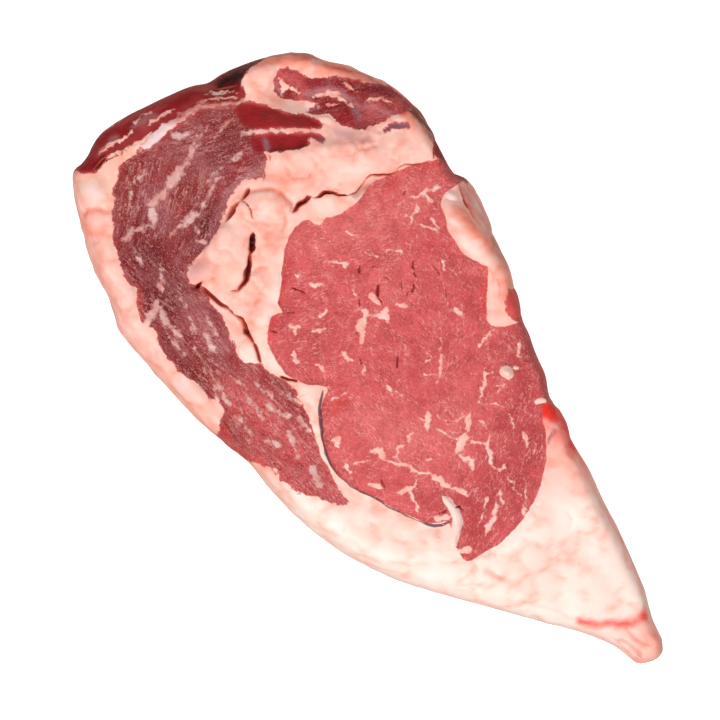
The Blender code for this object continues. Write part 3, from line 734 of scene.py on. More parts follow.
# %% Fat
FAT_PATCHES = [
    ("pale fat", 1.0, 70, [(300, 520), (370, 548), (450, 585), (560, 620)]),
    ("pale fat", 1.0, 75, [(578, 520), (590, 550), (620, 600)]),
    ("pale fat", 0.9, 45, [(480, 570), (540, 530)]), ("rosy fat", 0.35, 30, [(552, 450), (574, 482)]),
    ("rosy fat", 0.9, 16, [(284, 178), (306, 180)]),
    ("white fat and highlight", 0.9, 14, [(285, 252), (277, 290), (262, 330), (272, 365), (300, 384)]),
    ("white fat and highlight", 0.9, 14, [(240, 350), (252, 362)]),
    ("white fat and highlight", 0.9, 16, [(305, 390), (318, 440), (340, 490)]),
    ("white fat and highlight", 0.7, 18, [(400, 518), (440, 535)]), ("white fat and highlight", 0.8, 14, [(320, 205), (360, 198)]),
    # The first patch on the next line is a painted highlight on the arched lump of seam fat.
    ("white fat and highlight", 0.6, 14, [(268, 205), (262, 214)]), ("salmon", 0.5, 8, [(88, 230), (102, 236)]),
    ("salmon", 0.4, 7, [(96, 262), (110, 290)]), ("white fat and highlight", 0.7, 14, [(340, 178), (358, 164)]),
    # The first patch on the next line is whiter fat with a painted highlight, on the lower right of the big
    # lump beside the crack.
    ("white fat and highlight", 0.6, 14, [(232, 262), (238, 276)]), ("rosy fat", 0.4, 14, [(82, 215), (92, 256)]),
    ("rosy fat", 0.35, 14, [(150, 360), (200, 420), (240, 460)]),
    ("rosy fat", 0.4, 22, [(200, 160), (260, 175)]), ("rosy fat", 0.4, 12, [(395, 95), (425, 135)]),
    ("rosy fat", 0.5, 10, [(376, 156), (398, 160), (414, 150)]),
    ("rosy fat", 0.4, 9, [(262, 226), (270, 240), (262, 262)]),
    ("yellow fat", 0.8, 26, [(92, 185), (105, 195)]), ("yellow fat", 0.5, 20, [(130, 155), (112, 175)]),
    # The first patch on the next line is a painted highlight on the fat at the corner of the head.
    ("silver", 0.9, 10, [(92, 190), (97, 197)]), ("salmon", 0.4, 12, [(78, 172), (90, 176), (100, 182)]),
    ("salmon", 0.8, 16, [(262, 60), (292, 56), (350, 72), (397, 98), (424, 126)]),
    # Painted shade: the brown patches from here to the orange red ones darken the top and upper right rim,
    # where the side faces away from the light.
    ("brown", 0.85, 7, [(396, 97), (413, 108), (428, 124), (442, 146)]),
    ("brown", 0.45, 3.5, [(250, 62), (282, 54), (311, 57), (322, 64), (352, 71), (382, 83), (413, 108),
        (428, 124), (442, 146)]),
    ("brown", 0.6, 5, [(240, 68), (252, 62)]),
    ("orange red", 1.0, 12, [(538, 409), (554, 410), (566, 426), (576, 450)]),
    ("orange red", 0.6, 20, [(548, 420), (556, 434)]), ("white fat and highlight", 0.7, 6, [(545, 421), (554, 427)]),
    ("dark red", 0.6, 4, [(551, 431), (546, 442)]),
    # The first patch on the next line is painted shade, a darker salmon band along the tail's right side.
    ("salmon", 0.7, 8, [(580, 452), (600, 492), (622, 535), (645, 590)]), ("salmon", 0.6, 26, [(648, 640)]),
    ("orange red", 0.8, 9, [(584, 622), (604, 623), (628, 624), (640, 620), (656, 612)]),
    ("orange red", 0.5, 14, [(648, 618)]),
    # Painted shade: the salmon on the next line darkens the ridge lump's right face, which faces away from
    # the light.
    ("salmon", 0.9, 9, [(455, 213), (468, 225), (480, 237), (490, 247)]),
    ("membrane", 0.5, 11, [(464, 181), (477, 204), (489, 230)]),
    # Painted light: the pale patch on the next line brightens the ridge lump's lit front face.
    ("white fat and highlight", 0.9, 9, [(449, 218), (460, 236), (472, 250), (483, 260)]),
    # The second patch on the next line is painted shade under the ridge lump of fat.
    ("silver rose", 0.6, 6, [(460, 192), (468, 206)]), ("brown fat and shade", 0.7, 8, [(494, 240), (506, 262)]),
    ("salmon", 0.5, 12, [(502, 262), (508, 300)]), ("orange red", 0.8, 6, [(404, 109), (406, 114)]),
    ("orange red", 0.95, 18, [(540, 408), (550, 414)]), ("orange red", 0.6, 12, [(556, 416), (572, 440)]),
    ("white fat and highlight", 0.8, 11, [(288, 106), (304, 107), (318, 112)]),
    ("silver rose", 0.5, 12, [(340, 132), (370, 136)]),
    ("membrane", 0.9, 10, [(170, 119), (206, 106), (244, 103)]),
    ("brown fat and shade", 0.8, 6, [(176, 113), (206, 102), (242, 99)]),
    ("silver rose", 0.7, 4, [(168, 121), (196, 110), (236, 104)]),
    ("silver", 1.0, 11, [(149, 148), (156, 136), (166, 126)]),
    ("silver rose", 0.35, 9, [(262, 170), (240, 182), (226, 202), (214, 232)]),
    # The second patch on the next line is a painted shadow, cast by the small lump of fat beside it.
    ("salmon", 0.35, 8, [(486, 571), (502, 579)]), ("brown fat and shade", 0.8, 9, [(546, 400), (552, 404)]),
    ("silver rose", 0.6, 12, [(190, 275), (204, 264)]), ("cap marbling", 0.5, 8, [(240, 131), (320, 131)]),
    # Painted shade: this patch and the next darken the wall of the step in the seam fat above the eye.
    ("salmon", 0.35, 9, [(366, 186), (376, 180), (388, 180)]),
    ("brown fat and shade", 0.6, 7, [(352, 196), (360, 190), (370, 183)]),
    ("silver", 0.7, 7, [(188, 366), (184, 378), (181, 388)]), ("salmon", 0.5, 7, [(84, 213), (112, 212)]),
]  # fmt: skip

fat = lay(np.tile(linear(TONES["fat"]), (len(points), 1)), FAT_PATCHES)
flat_fat = ramp(0.3, -0.2, lump)
fat += (ramp(0.2, 1.2, own["eye"]) * flat_fat)[:, None] * (linear(TONES["marbling"]) - fat)
fat += ramp(-0.3, 0.2, lump)[:, None] * (linear(TONES["white fat and highlight"]) - fat)
fat += ramp(0.2, 1.5, own["cap"])[:, None] * (linear(TONES["cap marbling"]) - fat)
print("lean", np.round(lean.mean(axis=0), 2), "fat", np.round(fat.mean(axis=0), 2))

# %% [markdown]
# The numbers become attributes of the mesh, which both Geometry Nodes and a material can read by name.
# The grain tells which way the fibres of a muscle run. It is three shares, one for each of three directions
# 60 degrees apart, and a spot uses each direction's pattern by its share. Turning the pattern itself from
# spot to spot would stretch it.

# %% Which way the fibres run
GRAIN_TURNS = [math.radians(turn) for turn in (0, 60, 120)]
GRAIN_REACH = 4.5
GRAIN = [
    # from the eye's left side over its swirl to its lower right edge
    [(275, 300), (320, 270), (370, 262)], [(283, 345), (320, 335), (370, 345)],
    [(300, 232), (330, 215), (375, 195)], [(365, 290), (372, 272), (390, 265), (408, 275), (414, 295)],
    [(395, 172), (420, 185), (450, 180)], [(430, 210), (446, 240), (470, 275)],
    [(455, 300), (458, 330), (450, 370)], [(500, 340), (520, 380), (528, 430)],
    [(400, 340), (430, 360), (445, 390)], [(340, 370), (380, 380), (420, 420)],
    [(340, 420), (370, 440), (420, 460)], [(350, 478), (400, 490), (440, 500)],
    [(535, 440), (525, 490), (490, 540)], [(500, 440), (495, 480), (475, 530)],
    [(470, 470), (470, 510), (455, 550)], [(460, 430), (480, 445), (500, 440)],
    [(330, 300), (350, 310), (375, 318)],
    # along the cap
    [(320, 118), (260, 122), (200, 138)], [(200, 138), (160, 180), (145, 240)],
    [(250, 150), (205, 190), (185, 240)], [(145, 240), (175, 310), (225, 370)],
    [(190, 280), (240, 360), (300, 410)], [(225, 370), (280, 430), (335, 500)],
    # along the head muscle and the membrane side
    [(285, 80), (330, 95), (400, 105)], [(80, 165), (120, 130), (240, 90)],
]  # fmt: skip

pull = np.zeros((len(points), 2))
for places in GRAIN:
    route = curved(places)[::3]
    for start, end in zip(route, route[1:]):
        run = end - start
        turn = 2 * math.atan2(run[1], run[0])
        near = np.exp(-gap_to(spots, np.array([start, end])) / GRAIN_REACH) + 1e-9
        pull += near[:, None] * (math.cos(turn), math.sin(turn))
grain_turn = np.arctan2(pull[:, 1], pull[:, 0]) / 2
shares = np.column_stack([np.maximum(0, np.cos(2 * (grain_turn - turn))) ** 2 for turn in GRAIN_TURNS])
shares /= shares.sum(axis=1, keepdims=True)
print(f"{np.mean(shares.max(axis=1) > 0.9):.0%} of the spots follow one direction")

# %% Store the numbers
EYE_RAGGED, OTHER_RAGGED, EYE_BORDER = 1.2, 4.0, 3
# Depths in mm that count as a full crack, pit and crease.
FULL_CRACK, FULL_PIT, FULL_CREASE, CREASE_FALL = 3.0, 0.55, 0.8, 3
# The smaller muscles without streaks, the seam between the large ones, and where along X the tail's fat
# begins.
PLAIN = ("upper band", "lower band", "head wall", "side wall", "red bump", "vessel")
SEAM, SEAM_REACH, TAIL = [(262, 235), (240, 290), (330, 165)], (30, 60), (25, 50)
TAIL_MOTTLE, HEAD_STREAKS, FAR_RELIEF, SIDE_RELIEF = 0.5, 0.4, 0.55, 0.6


def keep(mesh, name, values, kind="FLOAT"):
    """Stores a value for each vertex under a name."""
    field = {"FLOAT": "value", "FLOAT_VECTOR": "vector", "FLOAT_COLOR": "color"}[kind]
    layer = mesh.attributes.new(name, kind, "POINT")
    layer.data.foreach_set(field, np.ascontiguousarray(values, np.float32).ravel())


plain = np.max([own[name] for name in PLAIN], axis=0)
smaller = np.max([gap for name, gap in own.items() if name not in ("eye", "cap")], axis=0)
calm = ramp(*SEAM_REACH, gap_to(spots, curved(SEAM)))
relief_share = ramp(0, 3, points[:, 2]) * ramp(0.8, 0, crack + pit)
relief_share = relief_share * (1 - FAR_RELIEF * calm) * (1 - SIDE_RELIEF * sides)
keep(roast.data, "depth", depth)
keep(roast.data, "vein", vein * (1 - CAP_SOFTNESS * ramp(-1, 2, own["cap"])))
keep(roast.data, "lump", lump)
keep(roast.data, "film", film)
keep(roast.data, "crack", (crack / FULL_CRACK).clip(0, 1))
keep(roast.data, "pit", (pit / FULL_PIT).clip(0, 1))
keep(roast.data, "mottled", 1 - TAIL_MOTTLE * ramp(*TAIL, points[:, 0]))
keep(roast.data, "fold", (crease / FULL_CREASE).clip(0, 1) ** CREASE_FALL)
keep(roast.data, "ragged", np.where(np.abs(own["eye"]) < EYE_BORDER, EYE_RAGGED, OTHER_RAGGED))
keep(roast.data, "capness", np.maximum(ramp(-1, 2, own["cap"]), ramp(-1, 1, smaller)))
keep(roast.data, "streaked", 1 - ramp(-0.5, 0.5, plain) - HEAD_STREAKS * ramp(-0.5, 0.5, own["head muscle"]))
keep(roast.data, "relief", relief_share)
keep(roast.data, "grain", shares, "FLOAT_VECTOR")
for name, colours in {"lean": lean, "fat": fat}.items():
    keep(roast.data, name, np.column_stack([colours, np.ones(len(colours))]), "FLOAT_COLOR")
print("attributes:", [layer.name for layer in roast.data.attributes])

# %% [markdown]
# ## The finish: raw beef, cut and moist
# Lean and fat are one material here, because marbling mixes them down to single fibres. Cut with a knife,
# the surface is smooth but not polished: bundles of fibres stand a little apart, and meat juice fills the
# dips, which gives small soft highlights. Raw meat's index of refraction is close to water's, 1.38, and
# light goes one or two millimetres into it, so edges look soft.
# One function adds a node with its settings and its links. The patterns are built from real sizes: bundles
# of fibres are about 1 mm wide here, and flecks of marbling 1 to 3 mm long.

# %% A function that adds a node
def node(tree, kind, inputs, out=0, **settings):
    """Adds a node, sets its inputs or links them to other nodes, and gives one of its outputs."""
    new = tree.nodes.new(kind)
    for name, value in settings.items():
        setattr(new, name, value)
    for socket, value in inputs.items():
        if isinstance(value, bpy.types.NodeSocket):
            tree.links.new(value, new.inputs[socket])
        else:
            new.inputs[socket].default_value = value
    return new.outputs[out] if new.outputs else None


finish = bpy.data.materials.new("moist raw beef")
finish.use_nodes = True
skin = finish.node_tree
skin.nodes.clear()
METRE = 1000
# The attributes that the finish reads.
READ = (
    "depth", "vein", "film", "crack", "pit", "crease", "dip", "ragged", "capness", "streaked",
    "lump", "mottled",
)  # fmt: skip
place = node(skin, "ShaderNodeTexCoord", {}, "Object")
kept = {name: node(skin, "ShaderNodeAttribute", {}, "Fac", attribute_name=name) for name in READ}
lean_tone = node(skin, "ShaderNodeAttribute", {}, "Color", attribute_name="lean")
fat_tone = node(skin, "ShaderNodeAttribute", {}, "Color", attribute_name="fat")
print("the finish reads", *kept)

# %% Patterns that are alike in all directions
PATTERNS = {
    # the size of its lumps in mm, its detail and roughness, and the part of the noise that becomes 0 to 1
    "edge": (2.4, 5.0, 0.65, 0.0, 1.0), "mottle": (5.5, 3.0, 0.55, 0.35, 0.7),
    "patch": (7.0, 2.0, 0.5, 0.4, 0.6), "speck": (0.5, 1.0, 0.5, 0.58, 0.7),
    "dark speck": (0.7, 1.0, 0.5, 0.42, 0.3), "break": (2.2, 2.0, 0.5, 0.48, 0.6),
    "lobe": (8.0, 2.0, 0.5, 0.6, 0.4), "blush": (4.5, 3.0, 0.6, 0.58, 0.8),
    "cream": (4.5, 2.0, 0.5, 0.5, 0.72), "wet": (2.2, 3.0, 0.6, 0.35, 0.65),
    "film break": (0.8, 1.0, 0.5, 0.22, 0.36), "crumb": (0.9, 3.0, 0.7, 0.66, 0.36),
    "waxy": (2.5, 2.0, 0.5, 0.0, 1.0), "grain": (0.8, 3.0, 0.6, 0.0, 1.0),
}  # fmt: skip
pattern = {}
for name, (size, detail, rough, low, high) in PATTERNS.items():
    sizes = {"Vector": place, "Scale": METRE / size, "Detail": detail, "Roughness": rough}
    value = node(skin, "ShaderNodeTexNoise", sizes)
    ends = {"Value": value, "From Min": low, "From Max": high}
    blending = "SMOOTHSTEP" if high != 1 else "LINEAR"
    pattern[name] = node(skin, "ShaderNodeMapRange", ends, interpolation_type=blending)

# %% A loose net of thin seams between the bundles of fibres
NET_CELL, NET_BEND, NET_LINE = 4.6, 0.003, 0.035
bend = node(skin, "ShaderNodeTexNoise", {"Vector": place, "Scale": METRE / 2.0, "Detail": 3.0}, "Color")
bend = node(skin, "ShaderNodeVectorMath", {0: bend, "Scale": NET_BEND}, operation="SCALE")
bend = node(skin, "ShaderNodeVectorMath", {0: place, 1: bend}, operation="ADD")
net_cells = {"Vector": bend, "Scale": METRE / NET_CELL}
net = node(skin, "ShaderNodeTexVoronoi", net_cells, "Distance", feature="DISTANCE_TO_EDGE")
net_ends = {"Value": net, "From Min": NET_LINE, "From Max": 0.0}
pattern["net"] = node(skin, "ShaderNodeMapRange", net_ends, interpolation_type="SMOOTHSTEP")

# %% Patterns drawn out along the grain
STREAKS = {
    # length and width in mm, detail, and the part of the noise that becomes 0 to 1
    "fibre": (1.7, 0.6, 2.0, 0.5, 0.34), "fleck": (1.6, 0.7, 2.5, 0.56, 0.64),
    "long fleck": (5.0, 0.9, 2.5, 0.5, 0.64), "ribbon": (14.0, 3.0, 2.0, 0.48, 0.62),
    "thread": (3.6, 1.7, 2.5, 0.5, 0.5),
}  # fmt: skip
THREAD_WIDTH = 0.014
along = node(skin, "ShaderNodeAttribute", {}, "Vector", attribute_name="grain")
parts = skin.nodes.new("ShaderNodeSeparateXYZ")
skin.links.new(along, parts.inputs[0])
turned_places = [
    node(skin, "ShaderNodeVectorRotate", {"Vector": place, "Angle": -turn}, rotation_type="Z_AXIS")
    for turn in GRAIN_TURNS
]
for name, (length, width, detail, low, high) in STREAKS.items():
    total = 0.0
    for turned_place, part in zip(turned_places, parts.outputs):
        drawn_out = {0: turned_place, 1: (width / length, 1, 1)}
        flat = node(skin, "ShaderNodeVectorMath", drawn_out, operation="MULTIPLY")
        value = node(skin, "ShaderNodeTexNoise", {"Vector": flat, "Scale": METRE / width, "Detail": detail})
        total = node(skin, "ShaderNodeMath", {0: value, 1: part, 2: total}, operation="MULTIPLY_ADD")
    if low == high:
        # A thread is a thin line where the noise passes its middle, so it winds.
        total = node(skin, "ShaderNodeMath", {0: total, 1: low}, operation="SUBTRACT")
        total = node(skin, "ShaderNodeMath", {0: total}, operation="ABSOLUTE")
        low, high = THREAD_WIDTH, 0.0
    ends = {"Value": total, "From Min": low, "From Max": high}
    pattern[name] = node(skin, "ShaderNodeMapRange", ends, interpolation_type="SMOOTHSTEP")
print(len(pattern), "patterns")

# %% Where there is lean, marbling, film and crack
off_centre = node(skin, "ShaderNodeMath", {0: pattern["edge"], 1: 0.5}, operation="SUBTRACT")
EDGES = {
    # what is read, how far the rough edge reaches in mm, and where the share goes from 0 to 1
    "lean": ("depth", kept["ragged"], -0.25, 0.25), "vein": ("vein", 2.6, -0.35, 0.35),
    "film": ("film", 0.4, -0.15, 0.25), "lump": ("lump", 0.0, -0.1, 0.1),
    "crack rim": ("crack", 0.1, 0.04, 0.2), "crack side": ("crack", 0.1, 0.18, 0.42),
    "crack floor": ("crack", 0.0, 0.5, 0.8), "pit": ("pit", 0.15, 0.2, 0.6),
}  # fmt: skip
for name, (source, reach, low, high) in EDGES.items():
    inputs = {0: off_centre, 1: reach, 2: kept[source]}
    rough_edge = node(skin, "ShaderNodeMath", inputs, operation="MULTIPLY_ADD")
    ends = {"Value": rough_edge, "From Min": low, "From Max": high}
    pattern[name] = node(skin, "ShaderNodeMapRange", ends, interpolation_type="SMOOTHSTEP")
for name, source in {"no vein": "vein", "no lump": "lump"}.items():
    pattern[name] = node(skin, "ShaderNodeMath", {0: 1.0, 1: pattern[source]}, operation="SUBTRACT")
pattern["cap"] = kept["capness"]
pattern.update({name: kept[name] for name in ("crease", "dip", "streaked", "mottled")})
pattern["not cap"] = node(skin, "ShaderNodeMath", {0: 1.0, 1: kept["capness"]}, operation="SUBTRACT")

# %% Lay the tones over one another
LAYERS = [
    # what is coloured, how strongly, the patterns that limit it, the colour, and how it is mixed
    ("lean", 1.0, ["mottle"], "#EADCDC", "MULTIPLY"),
    ("lean", 0.35, ["crumb", "streaked"], "#D3A0A4", "MULTIPLY"),
    ("lean", 0.25, ["fibre", "streaked"], "#C9949A", "MULTIPLY"),
    ("lean", 0.25, ["fibre", "cap", "streaked"], "#A87278", "MULTIPLY"),
    ("lean", 0.55, ["dark speck", "cap", "streaked"], "#8E5A60", "MULTIPLY"),
    ("lean", 0.3, ["blush", "cap", "streaked"], "#A06A6C", "MULTIPLY"),
    ("lean", 0.12, ["cream", "cap", "streaked"], "#C07F7C", "MIX"),
    # Painted highlights: the sparse pale specks on this line and the next stand for glints on the moist lean.
    ("lean", 0.25, ["speck", "cap", "streaked"], "#DDA8A2", "MIX"),
    ("lean", 0.2, ["speck", "streaked"], "#F2AFA8", "MIX"),
    ("lean", 0.42, ["fleck", "patch", "streaked"], "#F0ADA5", "MIX"),
    ("lean", 0.4, ["net", "break", "not cap"], "#F4B7AE", "MIX"),
    ("lean", 0.5, ["thread", "patch", "not cap"], "#F4B7AE", "MIX"),
    ("lean", 0.12, ["long fleck", "cap", "streaked"], "#CE9490", "MIX"),
    ("lean", 0.22, ["long fleck", "patch", "cap", "streaked"], "#DCA9A3", "MIX"),
    ("lean", 0.12, ["ribbon", "cap", "streaked"], "#C58688", "MIX"),
    ("fat", 0.5, ["lobe", "mottled"], "#FFEAE2", "MULTIPLY"),
    ("fat", 0.3, ["cream", "mottled"], "#FFF1E8", "MIX"),
    ("fat", 0.45, ["blush", "mottled"], "#FFDFD4", "MULTIPLY"),
    # Painted shade: the fat is darkened in the dips between its lobes and along its creases.
    ("fat", 0.5, ["dip"], "#FFD5C8", "MULTIPLY"),
    ("fat", 0.5, ["crease"], "#F4A08A", "MULTIPLY"),
    ("fat", 1.0, ["lean", "no vein", "no lump"], "lean", "MIX"),
    ("fat", 0.9, ["film", "film break"], "#5C3440", "MIX"),
    # Partly painted shade: pits and cracks are dark red, darkest at a crack's floor. The red is the torn
    # meat's own, and the darkening with depth is painted shade.
    ("fat", 0.85, ["pit"], "#8E1019", "MIX"),
    ("fat", 0.6, ["crack rim"], "#E0795F", "MIX"),
    ("fat", 0.85, ["crack side"], "#AC2A1E", "MIX"),
    ("fat", 1.0, ["crack floor"], "#520A0D", "MIX"),
]  # fmt: skip
tone = {"lean": lean_tone, "fat": fat_tone}
for target, amount, limits, colour, mixing in LAYERS:
    for limit in limits:
        amount = node(skin, "ShaderNodeMath", {0: pattern[limit], 1: amount}, operation="MULTIPLY")
    laid = tone[colour] if colour in tone else (*linear(colour), 1)
    # A Mix node for colours has its factor as input 0, its colours as 6 and 7, and its result as output 2.
    inputs = {0: amount, 6: tone[target], 7: laid}
    tone[target] = node(skin, "ShaderNodeMix", inputs, 2, data_type="RGBA", blend_type=mixing)
surface, in_lean = tone["fat"], pattern["lean"]
print(len(skin.nodes), "nodes for the colours")

# %% Relief too fine for the mesh, gloss, and the shader
BUMP_HEIGHT, FAT_BUMP, FIBRE_BUMP = 0.0003, 0.35, -0.6
lean_parts = {0: pattern["fibre"], 1: FIBRE_BUMP, 2: pattern["grain"]}
lean_bump = node(skin, "ShaderNodeMath", lean_parts, operation="MULTIPLY_ADD")
lean_bump = node(skin, "ShaderNodeMath", {0: lean_bump, 1: in_lean}, operation="MULTIPLY")
both_bumps = {0: pattern["waxy"], 1: FAT_BUMP, 2: lean_bump}
bump_height = node(skin, "ShaderNodeMath", both_bumps, operation="MULTIPLY_ADD")
bumped = node(skin, "ShaderNodeBump", {"Strength": 0.7, "Distance": BUMP_HEIGHT, "Height": bump_height})
roughness = node(skin, "ShaderNodeMapRange", {"Value": pattern["wet"], "To Min": 0.5, "To Max": 0.33})
shader = node(skin, "ShaderNodeBsdfPrincipled", {
    "Base Color": surface, "Roughness": roughness, "Normal": bumped, "IOR": 1.38,
    "Specular IOR Level": 0.2, "Subsurface Weight": 0.15, "Subsurface Radius": (1.0, 0.35, 0.25),
    "Subsurface Scale": 0.0015,
})  # fmt: skip
node(skin, "ShaderNodeOutputMaterial", {"Surface": shader})
print(len(skin.nodes), "nodes in the finish")

# %% [markdown]
# ## Fine relief by rule
# Lobes of fat and bundles of fibres repeat all over the roast, so Geometry Nodes make them from a rule: fat
# swells in lobes with creases between them, and lean has low ridges. The tree takes its sizes by name.
# It also stores where the creases and the dips between lobes lie, so that the finish can paint shade into
# them.

# %% The rule
rule = bpy.data.node_groups.new("meat relief", "GeometryNodeTree")
rule.interface.new_socket("Geometry", in_out="INPUT", socket_type="NodeSocketGeometry")
rule.interface.new_socket("Geometry", in_out="OUTPUT", socket_type="NodeSocketGeometry")
RELIEF_SIZES = {"Lobe size": 10.0, "Lobe height": 1.3, "Fibre width": 2.4, "Fibre height": 0.45}
sockets = {
    name: rule.interface.new_socket(name, in_out="INPUT", socket_type="NodeSocketFloat").identifier
    for name in RELIEF_SIZES
}
given = rule.nodes.new("NodeGroupInput").outputs
stored = {
    name: node(rule, "GeometryNodeInputNamedAttribute", {"Name": name}, "Attribute", data_type="FLOAT")
    for name in ("depth", "vein", "relief", "fold")
}
# The lobes' cells are bent by waves this fine, by this many mm, and some fat is left without lobes.
BEND_FINENESS, LOBE_BEND, SOME_FINENESS = 0.14, 9.0, 0.1
position = node(rule, "GeometryNodeInputPosition", {})
in_mm = node(rule, "ShaderNodeVectorMath", {0: position, "Scale": METRE}, operation="SCALE")
bent = node(rule, "ShaderNodeTexNoise", {"Vector": in_mm, "Scale": BEND_FINENESS, "Detail": 2.0}, "Color")
bent = node(rule, "ShaderNodeVectorMath", {0: bent, "Scale": LOBE_BEND}, operation="SCALE")
bent = node(rule, "ShaderNodeVectorMath", {0: in_mm, 1: bent}, operation="ADD")
per_lobe = node(rule, "ShaderNodeMath", {0: 1.0, 1: given["Lobe size"]}, operation="DIVIDE")
lobe_cells = {"Vector": bent, "Scale": per_lobe}
edge = node(rule, "ShaderNodeTexVoronoi", lobe_cells, "Distance", feature="DISTANCE_TO_EDGE")
some = node(rule, "ShaderNodeTexNoise", {"Vector": in_mm, "Scale": SOME_FINENESS, "Detail": 1.0})
SHAPES = {
    # what is read, and where the share goes from 0 to 1
    "swell": (edge, 0.0, 0.4), "crease": (edge, 0.06, 0.0), "some": (some, 0.4, 0.55),
    "fat": (stored["depth"], 0.0, -2.0), "dip": (edge, 0.25, 0.0),
}  # fmt: skip
shaped = {}
for name, (value, low, high) in SHAPES.items():
    ends = {"Value": value, "From Min": low, "From Max": high}
    shaped[name] = node(rule, "ShaderNodeMapRange", ends, interpolation_type="SMOOTHSTEP")

# %% Lobes, fibres and the way out
# Fat keeps a fifth of the fibres' height, and a lobe's crease is half as strong as a drawn fold.
FIBRE_REACH, LOBE_CREASE = 1.2, 0.5
lobes = given["Lobe height"]
for name in ("swell", "some", "fat"):
    lobes = node(rule, "ShaderNodeMath", {0: lobes, 1: shaped[name]}, operation="MULTIPLY")
per_fibre = node(rule, "ShaderNodeMath", {0: 1.0, 1: given["Fibre width"]}, operation="DIVIDE")
fibres = node(rule, "ShaderNodeTexNoise", {"Vector": in_mm, "Scale": per_fibre, "Detail": 2.0})
fibres = node(rule, "ShaderNodeMath", {0: fibres, 1: 0.5}, operation="SUBTRACT")
lean_here = node(rule, "ShaderNodeMath", {0: FIBRE_REACH, 1: shaped["fat"]}, operation="SUBTRACT")
fibres = node(rule, "ShaderNodeMath", {0: fibres, 1: given["Fibre height"]}, operation="MULTIPLY")
fibres = node(rule, "ShaderNodeMath", {0: fibres, 1: lean_here}, operation="MULTIPLY")
height = node(rule, "ShaderNodeMath", {0: lobes, 1: fibres}, operation="ADD")
for factor in (stored["relief"], MM):
    height = node(rule, "ShaderNodeMath", {0: height, 1: factor}, operation="MULTIPLY")
normal = node(rule, "GeometryNodeInputNormal", {})
offset = node(rule, "ShaderNodeVectorMath", {0: normal, "Scale": height}, operation="SCALE")
crease_share = node(rule, "ShaderNodeMath", {0: shaped["crease"], 1: shaped["some"]}, operation="MULTIPLY")
both_creases = {0: crease_share, 1: LOBE_CREASE, 2: stored["fold"]}
crease_share = node(rule, "ShaderNodeMath", both_creases, operation="MULTIPLY_ADD")
dip_share = node(rule, "ShaderNodeMath", {0: shaped["dip"], 1: shaped["some"]}, operation="MULTIPLY")
# The crease and dip shares are kept for the finish, which paints shade into them.
tinted = given["Geometry"]
for name, value in {"crease": crease_share, "dip": dip_share}.items():
    inputs = {"Geometry": tinted, "Name": name, "Value": value}
    tinted = node(rule, "GeometryNodeStoreNamedAttribute", inputs, data_type="FLOAT", domain="POINT")
moved = node(rule, "GeometryNodeSetPosition", {"Geometry": tinted, "Offset": offset})
real = node(rule, "GeometryNodeRealizeInstances", {0: moved})
dressed = node(rule, "GeometryNodeSetMaterial", {"Geometry": real, "Material": finish})
node(rule, "NodeGroupOutput", {0: dressed})

relief = roast.modifiers.new("meat relief", "NODES")
relief.node_group = rule
for name, size in RELIEF_SIZES.items():
    relief[sockets[name]] = size
roast.data = baked(roast)
roast.modifiers.clear()
print(len(rule.nodes), "nodes in the rule")

# %% [markdown]
# The finished mesh is fitted to the solid's own box, so that the relief changes the surface but not the size.

# %% Fit, shade and hand over
low, high = (np.array(corner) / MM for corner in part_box("rib_roast"))
points = mesh_points(roast.data)
points = low + (points - points.min(axis=0)) * (high - low) / np.ptp(points, axis=0)
set_points(roast.data, points)
roast.data.polygons.foreach_set("use_smooth", [True] * len(roast.data.polygons))
roast.data.materials.clear()
roast.data.materials.append(finish)
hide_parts("rib_roast")
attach(roast, "root")
print("fitted to", *(f"{size:.1f}" for size in high - low), "mm")

# %% [markdown]
# ## Floor, light and camera
# The photograph is lit softly from all round on a white ground, and a little more from its lower left side.
# So four large soft lamps stand round the roast, low enough that its flat parts don't mirror them, and the
# sky above is dimmer. The ground is white paper on a light table. What it throws back at the roast's sides
# comes from the lower half of the sky instead, so that the paper doesn't show in the moist surface. That half
# is tinted warm, as light is that has passed close over meat.

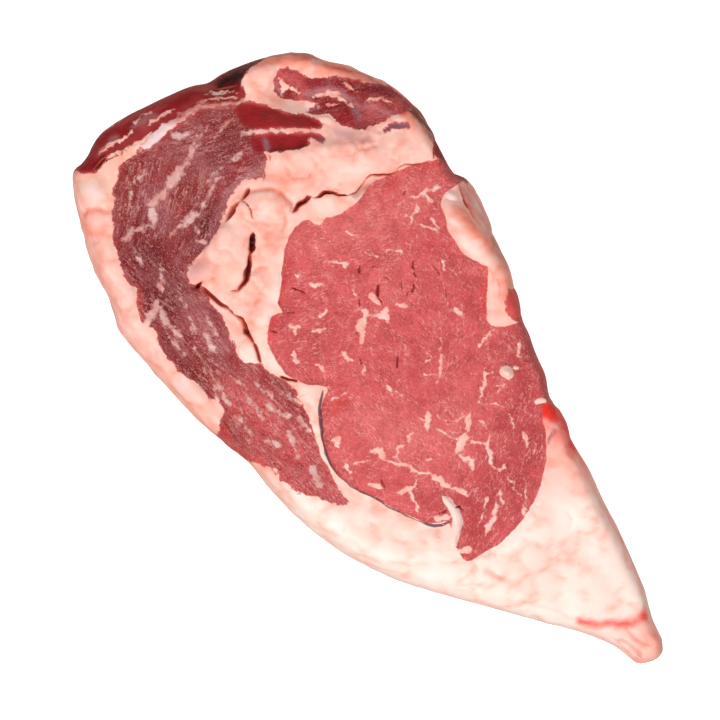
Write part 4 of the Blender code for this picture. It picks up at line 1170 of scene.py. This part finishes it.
# %% Stage
FLOOR_SIZE, FLOOR_DROP, GLOW = 6.0, 0.0002, 0.8
floor_shape = bmesh.new()
bmesh.ops.create_grid(floor_shape, x_segments=1, y_segments=1, size=FLOOR_SIZE / 2)
floor_mesh = bpy.data.meshes.new("floor")
floor_shape.to_mesh(floor_mesh)
floor_shape.free()
floor_mesh.transform(Matrix.Translation((0, 0, -FLOOR_DROP)))
floor = bpy.data.objects.new("floor", floor_mesh)
bpy.context.scene.collection.objects.link(floor)
floor.visible_diffuse = floor.visible_glossy = False
paper = bpy.data.materials.new("white paper on a light table")
paper.use_nodes = True
paper_settings = {
    "Base Color": (0.93, 0.93, 0.93, 1), "Roughness": 0.9, "Specular IOR Level": 0.1,
    "Emission Color": (1, 1, 1, 1), "Emission Strength": GLOW,
}  # fmt: skip
for name, value in paper_settings.items():
    paper.node_tree.nodes["Principled BSDF"].inputs[name].default_value = value
floor.data.materials.append(paper)

# %% Light
# How bright the sky is below and above, and the heights between which brightness and tint change.
SKY_BELOW, SKY_ABOVE = 0.4, 0.47
GLOW_FROM, GLOW_TO, TINT_EDGE = -0.15, 0.35, 0.1
WARM, WHITE = (1.0, 0.72, 0.64, 1), (1, 1, 1, 1)
world = bpy.data.worlds.new("grey sky")
world.use_nodes = True
sky = world.node_tree
sky.nodes.clear()
direction = node(sky, "ShaderNodeTexCoord", {}, "Generated")
parts = sky.nodes.new("ShaderNodeSeparateXYZ")
sky.links.new(direction, parts.inputs[0])
how_high = parts.outputs["Z"]
brightness = {
    "Value": how_high, "From Min": GLOW_FROM, "From Max": GLOW_TO,
    "To Min": SKY_BELOW, "To Max": SKY_ABOVE,
}  # fmt: skip
strength = node(sky, "ShaderNodeMapRange", brightness)
above = node(sky, "ShaderNodeMapRange", {"Value": how_high, "From Min": -TINT_EDGE, "From Max": TINT_EDGE})
hue = node(sky, "ShaderNodeMix", {0: above, 6: WARM, 7: WHITE}, 2, data_type="RGBA")
background = node(sky, "ShaderNodeBackground", {"Color": hue, "Strength": strength})
node(sky, "ShaderNodeOutputWorld", {"Surface": background})
bpy.context.scene.world = world

LAMPS = {
    # watts, size and place in metres; the picture's lower left is towards -Y
    "key lamp": (12.5, 0.8, (0.35, -0.85, 1.05)), "left lamp": (2.8, 0.8, (-1.0, -0.5, 0.8)),
    "right lamp": (2.4, 0.8, (1.1, 0.4, 0.8)), "upper lamp": (2.6, 0.8, (-0.3, 1.1, 0.8)),
}  # fmt: skip
for name, (power, size, spot) in LAMPS.items():
    lamp_data = bpy.data.lights.new(name, "AREA")
    lamp_data.size, lamp_data.energy = size, power
    lamp = bpy.data.objects.new(name, lamp_data)
    lamp.location = spot
    lamp.rotation_euler = (-Vector(spot)).to_track_quat("-Z", "Y").to_euler()
    bpy.context.scene.collection.objects.link(lamp)
bpy.context.scene.view_settings.view_transform = "Standard"
